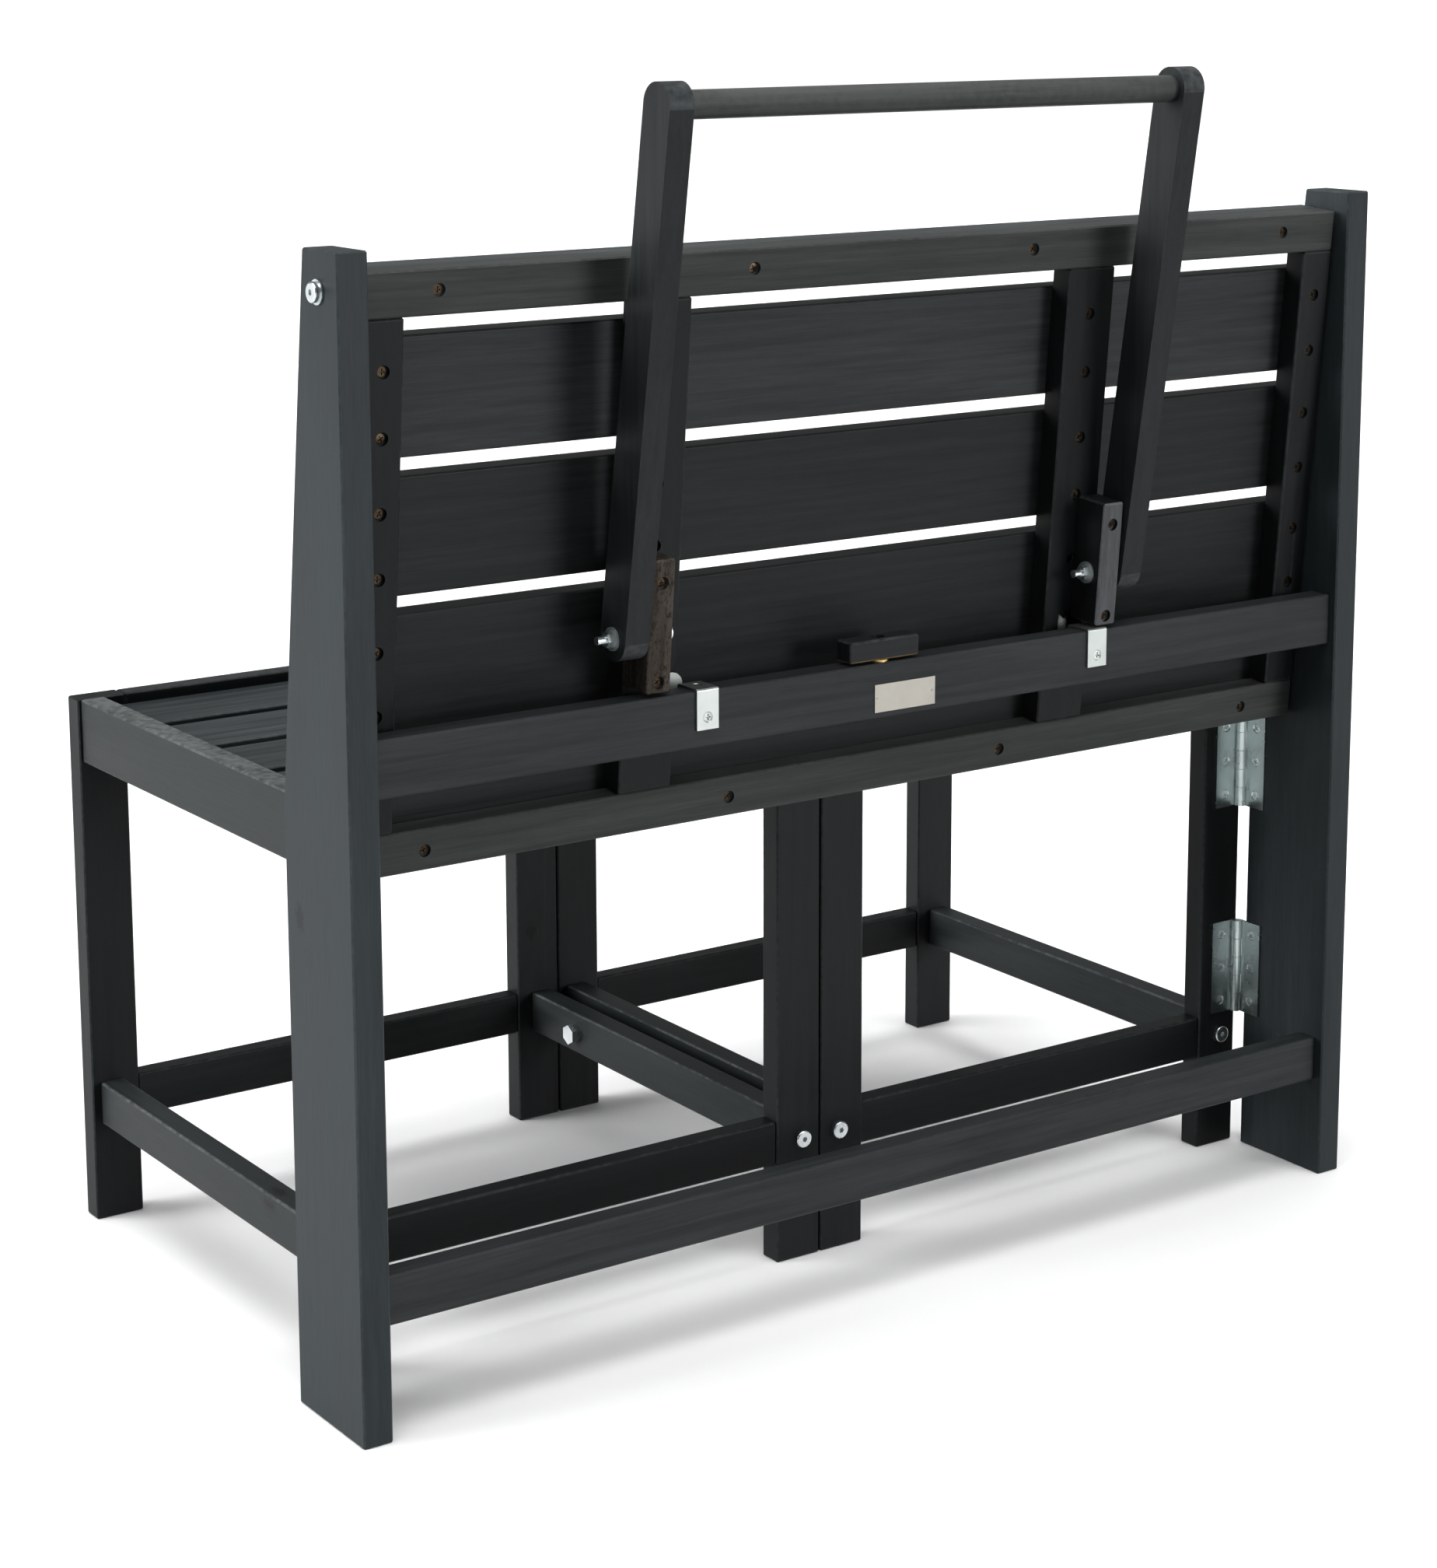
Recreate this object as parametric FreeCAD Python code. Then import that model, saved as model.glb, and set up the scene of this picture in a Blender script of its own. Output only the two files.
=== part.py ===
import FreeCAD, Part
import math
import os
from FreeCAD import Vector

# Convertible picnic table bench. Millimetres, +Z up, the sitter faces -Y, left is +X.
# The pieces are drawn with y = 0 on the rear face of the posts. They are then moved as
# one, so that the origin lies on the floor under the middle of the bounding box.

# Whole object
OVERALL_WIDTH = 927.0
TABLE_PIVOT_HEIGHT = 792.4
SEAT_HEIGHT = 431.5
SEAT_DEPTH = 408.0
EDGE = 1.2

# Posts
POST_THICKNESS = 23.0
POST_ABOVE_PIVOT = 27.6
POST_FOOT_DEPTH = 94.5
POST_TOP_DEPTH = 48.0
POST_TAPER_FROM = 440.0

# Rails between the posts
MID_RAIL_BELOW_PIVOT = 298.4
MID_RAIL_HEIGHT = 41.0
MID_RAIL_THICKNESS = 21.0
MID_RAIL_INSET = 6.5
BOTTOM_RAIL_TOP = 117.5
BOTTOM_RAIL_HEIGHT = 36.5
BOTTOM_RAIL_THICKNESS = 19.0
BOTTOM_RAIL_INSET = 8.0
DOWEL_RADIUS = 4.0
DOWEL_IN_POST = 15.0
DOWEL_IN_RAIL = 22.0
DOWEL_SPACING = 18.0
GLUE_GAP = 0.05

# Table top, which is the back rest when the bench is folded
TABLE_RECLINE = 5.0
TABLE_LENGTH = 419.5
TABLE_SIDE_GAP = 3.5
TABLE_PIVOT_SETBACK = 26.3
TABLE_PIVOT_IN_RAIL = 14.8
TABLE_PIVOT_DROP = 13.4
BATTEN_THICKNESS = 20.0
TABLE_SLAT_THICKNESS = 18.0
TOP_RAIL_WIDTH = 31.5
TABLE_BOTTOM_RAIL_WIDTH = 30.5
END_BATTEN_WIDTH = 30.0
MIDDLE_BATTEN_WIDTH = 45.0
FIRST_SLAT_WIDTH = 35.0
WIDE_SLATS = 4
TABLE_SLAT_GAP = 12.5
SLAT_SCREW_SPREAD = 22.5
RAIL_SCREWS = 4
RAIL_SCREW_FROM_END = 55.5
RAIL_SCREW_UP = 14.5

# Folding support leg and the two blocks that carry it
SUPPORT_SHIFT = 7.5
BLOCKS_HALF_SPAN = 216.5
BLOCK_WIDTH = 20.0
BLOCK_DEPTH = 30.5
BLOCK_ABOVE_PIVOT = 57.0
BLOCK_RAIL_GAP = 1.0
BLOCK_SCREW_TOP_IN = 17.0
BLOCK_SCREW_BOTTOM_IN = 7.5
BLOCK_SCREW_RECESS = 3.0
SUPPORT_PIVOT_ABOVE_RAIL = 44.0
SUPPORT_PIVOT_OUT = 16.3
SUPPORT_LEAN = 4.1
ARM_DEPTH = 32.0
ARM_THICKNESS = 20.0
ARM_BLOCK_GAP = 0.9
BAR_RADIUS = 10.0
BAR_TENON = 12.0

# Steel hooks on the middle rail, which hold the bar of the support leg
HOOK_PLACES = (173.5, -189.7)
HOOK_WIDTH = 18.5
STRAP = 2.0
HOOK_LEAF = 28.0
HOOK_DROP = 22.0
HOOK_TIP_RISE = 5.0
CRADLE_PLAY = 0.6
HOOK_SCREW_FROM_TOP = 19.0
HOOK_SCREW_FROM_REAR = 12.0
HOOK_SIDE_PLAY = 2.5
HOOK_FRONT_PLAY = 0.8
HOOK_TIP_PLAY = 4.0

# Turn button and blank plate on the middle rail
BUTTON_PLACE = 13.0
BUTTON_LENGTH = 63.5
BUTTON_DEPTH = 18.0
BUTTON_HEIGHT = 16.0
BUTTON_WASHER_RADIUS = 8.0
BUTTON_WASHER = 1.7
BUTTON_SCREW_DEPTH = 3.0
SLIP = 0.3
PLATE_PLACE = -4.0
PLATE_LENGTH = 56.0
PLATE_HEIGHT = 21.0
PLATE_BELOW_TOP = 26.0
PLATE_THICKNESS = 0.8
PLATE_PIN_RADIUS = 0.8
PLATE_PIN_LENGTH = 6.0
PLATE_PIN_FROM_END = 2.5

# Seat units, one for each side
SEAT_MIDDLE_GAP = 1.5
LEG_WIDTH = 40.5
LEG_THICKNESS = 20.0
APRON_HEIGHT = 51.0
CROSS_APRON_THICKNESS = 18.0
SIDE_APRON_THICKNESS = 20.0
SIDE_APRON_INSET = 2.5
STRETCHER_TOP = 115.5
STRETCHER_HEIGHT = 35.0
CROSS_STRETCHER_THICKNESS = 17.0
SIDE_STRETCHER_THICKNESS = 20.0
SIDE_STRETCHER_INSET = 7.0
SEAT_SLATS = 4
SEAT_SLAT_WIDTH = 75.0
SEAT_SLAT_GAP = 14.5
SEAT_SLAT_THICKNESS = 18.0
SEAT_SLAT_DROP = 8.0
SEAT_SLAT_PLAY = 1.0
CLEAT_WIDTH = 18.0
CLEAT_HEIGHT = 18.0
APRON_BOLT_DROP = 31.5
INSERT_RADIUS = 6.5
INSERT_LENGTH = 20.0
LOCK_FROM_FRONT = 92.0
LOCK_HEAD_ACROSS = 15.0
LOCK_HEAD_HEIGHT = 8.0

# Butt hinges between the seats and the posts
HINGE_LENGTH = 80.0
HINGE_KNUCKLES = 5
HINGE_BELOW_SEAT = 93.5
HINGE_ABOVE_STRETCHER = 42.0
BARREL_RADIUS = 4.25
LEAF_THICKNESS = 2.0
LEAF_REACH = 25.0
LEAF_SCREW_OUT = 15.0
LEAF_SCREW_SPREAD = 29.0
KNUCKLE_GAP = 0.35
HINGE_PIN_RADIUS = 2.4
LEG_PAST_PIN = 4.0
LEG_BARREL_GAP = 0.4
POST_LEG_GAP = 1.75
RUNNING_FIT = 0.06

# Fasteners
SCREW_HEAD_RADIUS = 4.0
SCREW_HEAD_HEIGHT = 1.9
SCREW_SHANK_RADIUS = 2.0
SLAT_SCREW_RECESS = 2.5
COUNTERBORE_RADIUS = 4.7
SLAT_SCREW_LENGTH = 32.0
METAL_SCREW_LENGTH = 16.0
BLOCK_SCREW_LENGTH = 44.0
DRIVE_LENGTH = 4.4
DRIVE_WIDTH = 0.9
DRIVE_DEPTH = 1.2
BOLT_RADIUS = 4.0
BOLT_HEAD_RADIUS = 7.0
BOLT_HEAD_HEIGHT = 4.2
BOLT_HEAD_ROUNDING = 1.2
SOCKET_ACROSS = 4.0
SOCKET_DEPTH = 2.4
SUPPORT_BOLT_RADIUS = 3.0
WASHER_RADIUS = 8.5
WASHER_THICKNESS = 1.5
NUT_ACROSS = 10.0
NUT_HEIGHT = 5.0
BOLT_END = 7.0
BOLT_INTO_TABLE = 42.0

# Places worked out from the sizes above
HALF_WIDTH = OVERALL_WIDTH / 2
POST_HEIGHT = TABLE_PIVOT_HEIGHT + POST_ABOVE_PIVOT
MID_RAIL_TOP = TABLE_PIVOT_HEIGHT - MID_RAIL_BELOW_PIVOT
POST_INNER = HALF_WIDTH - POST_THICKNESS
TABLE_HALF = POST_INNER - TABLE_SIDE_GAP
TABLE_REAR = TABLE_PIVOT_IN_RAIL
SLAT_REAR = TABLE_REAR - BATTEN_THICKNESS
TABLE_FRONT = SLAT_REAR - TABLE_SLAT_THICKNESS
PIN_X = POST_INNER - BARREL_RADIUS
PIN_Y = -POST_FOOT_DEPTH - LEG_PAST_PIN - POST_LEG_GAP
SEAT_REAR = PIN_Y - BARREL_RADIUS - LEG_BARREL_GAP
SEAT_FRONT = SEAT_REAR - SEAT_DEPTH
SEAT_OUTER = PIN_X + LEG_PAST_PIN
SEAT_INNER = SEAT_MIDDLE_GAP / 2
MID_RAIL_REAR = -MID_RAIL_INSET
MID_RAIL_FRONT = MID_RAIL_REAR - MID_RAIL_THICKNESS
WIDE_SLAT = (TABLE_LENGTH - FIRST_SLAT_WIDTH) / WIDE_SLATS - TABLE_SLAT_GAP
CRADLE_RADIUS = BAR_RADIUS + CRADLE_PLAY
CRADLE_Y = MID_RAIL_FRONT - STRAP - CRADLE_RADIUS
SUPPORT_LOCAL_Y = TABLE_REAR + SUPPORT_PIVOT_OUT
CRADLE_Z = MID_RAIL_TOP - HOOK_DROP
HINGE_CENTRES = (SEAT_HEIGHT - HINGE_BELOW_SEAT, STRETCHER_TOP + HINGE_ABOVE_STRETCHER)
TABLE_PIVOT = Vector(0, -TABLE_PIVOT_SETBACK, TABLE_PIVOT_HEIGHT)


def table_height_of(setback, height):
    """Height in the table top's own frame of what lies behind the pivot, at a height over the floor."""
    lean = math.radians(TABLE_RECLINE)
    return (height - TABLE_PIVOT_HEIGHT + setback * math.sin(lean)) / math.cos(lean)


def arm_reach():
    """From the support leg's pivot to its bar, so that the bar lies in the hooks under a level top."""
    level_pivot_y = TABLE_PIVOT.y + SUPPORT_LOCAL_Z
    level_pivot_z = TABLE_PIVOT.z - SUPPORT_LOCAL_Y
    return math.hypot(CRADLE_Y - level_pivot_y, level_pivot_z - CRADLE_Z)


def leaning(point, angle):
    """A point of the Y-Z plane, given up a line that leans back by an angle."""
    lean = math.radians(angle)
    y = point.y * math.cos(lean) + point.z * math.sin(lean)
    z = point.z * math.cos(lean) - point.y * math.sin(lean)
    return Vector(point.x, y, z)


SUPPORT_LOCAL_Z = table_height_of(SUPPORT_LOCAL_Y, MID_RAIL_TOP + SUPPORT_PIVOT_ABOVE_RAIL)
BLOCK_BOTTOM = table_height_of(TABLE_REAR + BLOCK_DEPTH, MID_RAIL_TOP + STRAP + BLOCK_RAIL_GAP)
BLOCK_TOP = SUPPORT_LOCAL_Z + BLOCK_ABOVE_PIVOT
ARM_REACH = arm_reach()
SUPPORT_PIVOT = TABLE_PIVOT + leaning(Vector(0, SUPPORT_LOCAL_Y, SUPPORT_LOCAL_Z), TABLE_RECLINE)
BAR_CENTRE = SUPPORT_PIVOT + leaning(Vector(0, 0, ARM_REACH), TABLE_RECLINE + SUPPORT_LEAN)
FRONT_REACH = SEAT_FRONT - BOLT_HEAD_HEIGHT
REAR_REACH = BAR_CENTRE.y + ARM_DEPTH / 2
BACK_SHIFT = -(FRONT_REACH + REAR_REACH) / 2


def block(x, y, z):
    """A plain box from three pairs of limits."""
    return Part.makeBox(x[1] - x[0], y[1] - y[0], z[1] - z[0], Vector(x[0], y[0], z[0]))


def board(x, y, z):
    """A box whose edges are eased."""
    plain = block(x, y, z)
    return plain.makeChamfer(EDGE, plain.Edges)


def rod(radius, start, direction, length):
    """A cylinder from a start point along a direction."""
    return Part.makeCylinder(radius, length, start, direction)


def prism(points, x):
    """A shape drawn in the Y-Z plane and run from one x to another."""
    corners = [Vector(x[0], py, pz) for py, pz in points]
    face = Part.Face(Part.makePolygon(corners + corners[:1]))
    return face.extrude(Vector(x[1] - x[0], 0, 0))


def ring(outer, inner, start, direction, length):
    """A washer or collar."""
    return rod(outer, start, direction, length).cut(rod(inner, start, direction, length))


def hexagon(across, start, direction, length, turn=0.0):
    """A hexagonal bar from a start point along a direction."""
    corner = across / math.sqrt(3)
    points = []
    for i in range(6):
        angle = math.radians(60 * i + turn)
        points.append(Vector(corner * math.cos(angle), corner * math.sin(angle), 0))
    bar = Part.Face(Part.makePolygon(points + points[:1])).extrude(Vector(0, 0, length))
    return placed(bar, start, direction)


def placed(shape, start, direction, turn=0.0):
    """Turn a shape made up the Z axis to a direction, and move it to a start point."""
    spin = FreeCAD.Rotation(Vector(0, 0, 1), turn)
    aim = FreeCAD.Rotation(Vector(0, 0, 1), direction)
    done = shape.copy()
    done.Placement = FreeCAD.Placement(start, aim.multiply(spin))
    return done


def screw(start, outward, length, recess=0.0, turn=20.0, play=0.0):
    """A countersunk cross-head screw. With play it is the hole that takes it."""
    head = SCREW_HEAD_RADIUS + play
    shank = SCREW_SHANK_RADIUS + play
    taper = Part.makeCone(shank, head, SCREW_HEAD_HEIGHT, Vector(0, 0, -recess - SCREW_HEAD_HEIGHT))
    body = taper.fuse(Part.makeCylinder(shank, length + play, Vector(0, 0, -recess - length - play)))
    if play:
        mouth = COUNTERBORE_RADIUS if recess else head
        body = body.fuse(Part.makeCylinder(mouth, recess + 1, Vector(0, 0, -recess)))
    else:
        for angle in (0, 90):
            slot = Part.makeBox(DRIVE_LENGTH, DRIVE_WIDTH, DRIVE_DEPTH * 2)
            slot.translate(Vector(-DRIVE_LENGTH / 2, -DRIVE_WIDTH / 2, -recess - DRIVE_DEPTH))
            slot.rotate(Vector(0, 0, 0), Vector(0, 0, 1), angle)
            body = body.cut(slot)
    return placed(body, start, outward, turn)


def bolt(start, outward, length, radius=BOLT_RADIUS):
    """A flat-head bolt with a hexagon socket. It starts under its head."""
    head = Part.makeCylinder(BOLT_HEAD_RADIUS, BOLT_HEAD_HEIGHT)
    rim = [e for e in head.Edges if e.BoundBox.ZMin > BOLT_HEAD_HEIGHT / 2]
    head = head.makeFillet(BOLT_HEAD_ROUNDING, rim)
    socket_floor = Vector(0, 0, BOLT_HEAD_HEIGHT - SOCKET_DEPTH)
    head = head.cut(hexagon(SOCKET_ACROSS, socket_floor, Vector(0, 0, 1), BOLT_HEAD_HEIGHT))
    shank = Part.makeCylinder(radius, length, Vector(0, 0, -length))
    return placed(head.fuse(shank), start, outward)


def nut(start, direction):
    """A hexagon nut that screws onto a support bolt."""
    body = hexagon(NUT_ACROSS, start, direction, NUT_HEIGHT, 30.0)
    return body.cut(rod(SUPPORT_BOLT_RADIUS + GLUE_GAP, start, direction, NUT_HEIGHT))


def drilled(shape, holes):
    """A piece with its holes cut."""
    return shape.cut(holes) if holes else shape


def mirrored(shapes):
    """The same pieces on the other side."""
    return [s.mirror(Vector(0, 0, 0), Vector(1, 0, 0)) for s in shapes]


def on_table(shape):
    """Move a piece from the table top's own frame, at its pivot, to its place."""
    done = shape.copy()
    turn = FreeCAD.Rotation(Vector(1, 0, 0), -TABLE_RECLINE)
    done.Placement = FreeCAD.Placement(TABLE_PIVOT, turn).multiply(done.Placement)
    return done


def on_support(shape):
    """Move a piece from the support leg's own frame, at its pivot, to its place."""
    done = shape.copy()
    turn = FreeCAD.Rotation(Vector(1, 0, 0), -TABLE_RECLINE - SUPPORT_LEAN)
    done.Placement = FreeCAD.Placement(SUPPORT_PIVOT, turn).multiply(done.Placement)
    return done


def hinge_bands(own):
    """Heights of the knuckles of one leaf of every hinge, the post's or the seat's."""
    height = HINGE_LENGTH / HINGE_KNUCKLES
    bands = []
    for centre in HINGE_CENTRES:
        low = centre - HINGE_LENGTH / 2
        for i in range(HINGE_KNUCKLES):
            if i % 2 == own:
                bands.append((low + i * height, low + (i + 1) * height))
    return bands


def hinge_leaf(centre, plate, own):
    """One leaf of a left hinge: its plate and its knuckles, bored for the pin."""
    low = centre - HINGE_LENGTH / 2
    high = centre + HINGE_LENGTH / 2
    pin_foot = Vector(PIN_X, PIN_Y, low)
    leaf = plate.cut(rod(BARREL_RADIUS, pin_foot, Vector(0, 0, 1), HINGE_LENGTH))
    for bottom, top in hinge_bands(1 - own):
        if low <= bottom < high:
            foot = Vector(PIN_X, PIN_Y, bottom - KNUCKLE_GAP / 2)
            height = top - bottom + KNUCKLE_GAP
            leaf = leaf.cut(rod(BARREL_RADIUS + KNUCKLE_GAP, foot, Vector(0, 0, 1), height))
    for bottom, top in hinge_bands(own):
        if low <= bottom < high:
            base = Vector(PIN_X, PIN_Y, bottom + KNUCKLE_GAP / 2)
            leaf = leaf.fuse(rod(BARREL_RADIUS, base, Vector(0, 0, 1), top - bottom - KNUCKLE_GAP))
    return leaf.cut(rod(HINGE_PIN_RADIUS + RUNNING_FIT, pin_foot, Vector(0, 0, 1), HINGE_LENGTH))


def leaf_screw_heights():
    """Heights of the three screws of every leaf."""
    return [c + i * LEAF_SCREW_SPREAD for c in HINGE_CENTRES for i in (-1, 0, 1)]


def post_leaves():
    """The post's leaves of the left hinges, and their screws and holes."""
    outward = Vector(-1, 0, 0)
    face = POST_INNER - LEAF_THICKNESS
    places = [Vector(face, PIN_Y + LEAF_SCREW_OUT, z) for z in leaf_screw_heights()]
    screws = [screw(p, outward, METAL_SCREW_LENGTH, turn=25 * i) for i, p in enumerate(places)]
    holes = [screw(p, outward, METAL_SCREW_LENGTH, play=GLUE_GAP) for p in places]
    leaves = []
    for centre in HINGE_CENTRES:
        span = (centre - HINGE_LENGTH / 2, centre + HINGE_LENGTH / 2)
        plate = block((face, POST_INNER), (PIN_Y, PIN_Y + LEAF_REACH), span)
        leaves.append(drilled(hinge_leaf(centre, plate, 0), holes))
    return leaves, screws, holes


def seat_leaves():
    """The seat's leaves of the left hinges, and their screws and holes."""
    outward = Vector(0, 1, 0)
    face = SEAT_REAR + LEAF_THICKNESS
    places = [Vector(PIN_X - LEAF_SCREW_OUT, face, z) for z in leaf_screw_heights()]
    screws = [screw(p, outward, METAL_SCREW_LENGTH, turn=31 * i) for i, p in enumerate(places)]
    holes = [screw(p, outward, METAL_SCREW_LENGTH, play=GLUE_GAP) for p in places]
    leaves = []
    for centre in HINGE_CENTRES:
        span = (centre - HINGE_LENGTH / 2, centre + HINGE_LENGTH / 2)
        plate = block((PIN_X - LEAF_REACH, PIN_X), (SEAT_REAR, face), span)
        leaves.append(drilled(hinge_leaf(centre, plate, 1), holes))
    return leaves, screws, holes


def hinge_pins():
    """The pins of the left hinges."""
    pins = []
    for centre in HINGE_CENTRES:
        base = Vector(PIN_X, PIN_Y, centre - HINGE_LENGTH / 2)
        pins.append(rod(HINGE_PIN_RADIUS, base, Vector(0, 0, 1), HINGE_LENGTH))
    return pins


def rail_dowel_places():
    """Middle of each dowel of the rails at the left post, at the post's inner face."""
    places = []
    for top, height, inset, thickness in (
        (MID_RAIL_TOP, MID_RAIL_HEIGHT, MID_RAIL_INSET, MID_RAIL_THICKNESS),
        (BOTTOM_RAIL_TOP, BOTTOM_RAIL_HEIGHT, BOTTOM_RAIL_INSET, BOTTOM_RAIL_THICKNESS),
    ):
        for side in (-0.5, 0.5):
            z = top - height / 2 + side * DOWEL_SPACING
            places.append(Vector(POST_INNER, -inset - thickness / 2, z))
    return places


def rail_dowels(play):
    """The dowels at the left post. With play they are their holes."""
    length = DOWEL_IN_POST + DOWEL_IN_RAIL + 2 * play
    dowels = []
    for place in rail_dowel_places():
        start = place - Vector(DOWEL_IN_RAIL + play, 0, 0)
        dowels.append(rod(DOWEL_RADIUS + play, start, Vector(1, 0, 0), length))
    return dowels


def left_post(leaf_holes):
    """The left post: a board with an upright rear edge and a tapered front edge."""
    outline = [
        (0, 0),
        (-POST_FOOT_DEPTH, 0),
        (-POST_FOOT_DEPTH, POST_TAPER_FROM),
        (-POST_TOP_DEPTH, POST_HEIGHT),
        (0, POST_HEIGHT),
    ]
    plain = prism(outline, (POST_INNER, HALF_WIDTH))
    post = plain.makeChamfer(EDGE, plain.Edges)
    bore_start = Vector(POST_INNER - 1, TABLE_PIVOT.y, TABLE_PIVOT.z)
    bore = rod(BOLT_RADIUS + RUNNING_FIT, bore_start, Vector(1, 0, 0), POST_THICKNESS + 2)
    return drilled(post, [bore] + leaf_holes + rail_dowels(GLUE_GAP))


def hook(place):
    """A steel strap over the middle rail, with a cradle in front of it."""
    x = (place - HOOK_WIDTH / 2, place + HOOK_WIDTH / 2)
    over = MID_RAIL_TOP + STRAP
    tip = MID_RAIL_TOP + HOOK_TIP_RISE
    tip_y = CRADLE_Y - CRADLE_RADIUS - STRAP
    tip_middle = tip - HOOK_WIDTH / 2
    axis = Vector(1, 0, 0)
    centre = Vector(x[0], CRADLE_Y, CRADLE_Z)
    bend = ring(CRADLE_RADIUS + STRAP, CRADLE_RADIUS, centre, axis, HOOK_WIDTH)
    room = 2 * CRADLE_RADIUS + 2 * STRAP
    bend = bend.cut(block(x, (CRADLE_Y - room, CRADLE_Y + room), (CRADLE_Z, CRADLE_Z + room)))
    rear_leaf = block(x, (MID_RAIL_REAR, MID_RAIL_REAR + STRAP), (MID_RAIL_TOP - HOOK_LEAF, over))
    top_leaf = block(x, (MID_RAIL_FRONT - STRAP, MID_RAIL_REAR), (MID_RAIL_TOP, over))
    front_leaf = block(x, (MID_RAIL_FRONT - STRAP, MID_RAIL_FRONT), (CRADLE_Z, MID_RAIL_TOP))
    lip = block(x, (tip_y, tip_y + STRAP), (CRADLE_Z, tip_middle))
    end = rod(HOOK_WIDTH / 2, Vector(place, tip_y, tip_middle), Vector(0, 1, 0), STRAP)
    strap = rear_leaf.multiFuse([top_leaf, front_leaf, bend, lip, end]).removeSplitter()
    corner = [e for e in strap.Edges if on_line(e, MID_RAIL_REAR + STRAP, over)]
    corner += [e for e in strap.Edges if on_line(e, MID_RAIL_FRONT - STRAP, over)]
    return strap.makeFillet(STRAP * 0.9, corner)


def on_line(edge, y, z):
    """Whether a straight edge runs along X at this y and z."""
    box = edge.BoundBox
    near = all(abs(v) < 0.001 for v in (box.YMin - y, box.YMax - y, box.ZMin - z, box.ZMax - z))
    return near and box.XLength > 1


def hook_screw_places():
    """Start and outward direction of the hooks' screws, rear and top."""
    places = []
    for x in HOOK_PLACES:
        rear = Vector(x, MID_RAIL_REAR + STRAP, MID_RAIL_TOP - HOOK_SCREW_FROM_TOP)
        top = Vector(x, MID_RAIL_REAR - HOOK_SCREW_FROM_REAR, MID_RAIL_TOP + STRAP)
        places += [(rear, Vector(0, 1, 0)), (top, Vector(0, 0, 1))]
    return places


def button_pieces():
    """The turn button, its washer and its screw."""
    middle = Vector(BUTTON_PLACE, MID_RAIL_REAR - MID_RAIL_THICKNESS / 2, MID_RAIL_TOP)
    up = Vector(0, 0, 1)
    low = MID_RAIL_TOP + BUTTON_WASHER + SLIP
    high = low + BUTTON_HEIGHT
    body = board(
        (BUTTON_PLACE - BUTTON_LENGTH / 2, BUTTON_PLACE + BUTTON_LENGTH / 2),
        (middle.y - BUTTON_DEPTH / 2, middle.y + BUTTON_DEPTH / 2),
        (low, high),
    )
    hole = rod(SCREW_SHANK_RADIUS + RUNNING_FIT, middle, up, high)
    floor = high - BUTTON_SCREW_DEPTH
    hole = hole.fuse(rod(COUNTERBORE_RADIUS, Vector(middle.x, middle.y, floor), up, BUTTON_HEIGHT))
    washer = ring(BUTTON_WASHER_RADIUS, SCREW_SHANK_RADIUS + GLUE_GAP, middle, up, BUTTON_WASHER)
    head_seat = Vector(middle.x, middle.y, floor + SLIP + SCREW_HEAD_HEIGHT)
    length = head_seat.z - MID_RAIL_TOP + METAL_SCREW_LENGTH
    fixing = screw(head_seat, up, length)
    pilot = screw(head_seat, up, length, play=GLUE_GAP)
    return body.cut(hole), washer, fixing, pilot


def plate_pieces():
    """The blank plate, its two pins and their holes."""
    x = (PLATE_PLACE - PLATE_LENGTH / 2, PLATE_PLACE + PLATE_LENGTH / 2)
    z = MID_RAIL_TOP - PLATE_BELOW_TOP
    face = MID_RAIL_REAR + PLATE_THICKNESS
    plate = block(x, (MID_RAIL_REAR, face), (z - PLATE_HEIGHT / 2, z + PLATE_HEIGHT / 2))
    pins = []
    holes = []
    for end in (x[0] + PLATE_PIN_FROM_END, x[1] - PLATE_PIN_FROM_END):
        start = Vector(end, face - PLATE_PIN_LENGTH, z)
        length = PLATE_PIN_LENGTH + PLATE_THICKNESS / 2
        pins.append(rod(PLATE_PIN_RADIUS, start, Vector(0, 1, 0), length))
        holes.append(rod(PLATE_PIN_RADIUS + GLUE_GAP, start, Vector(0, 1, 0), length))
    return drilled(plate, holes), pins, holes


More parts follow.
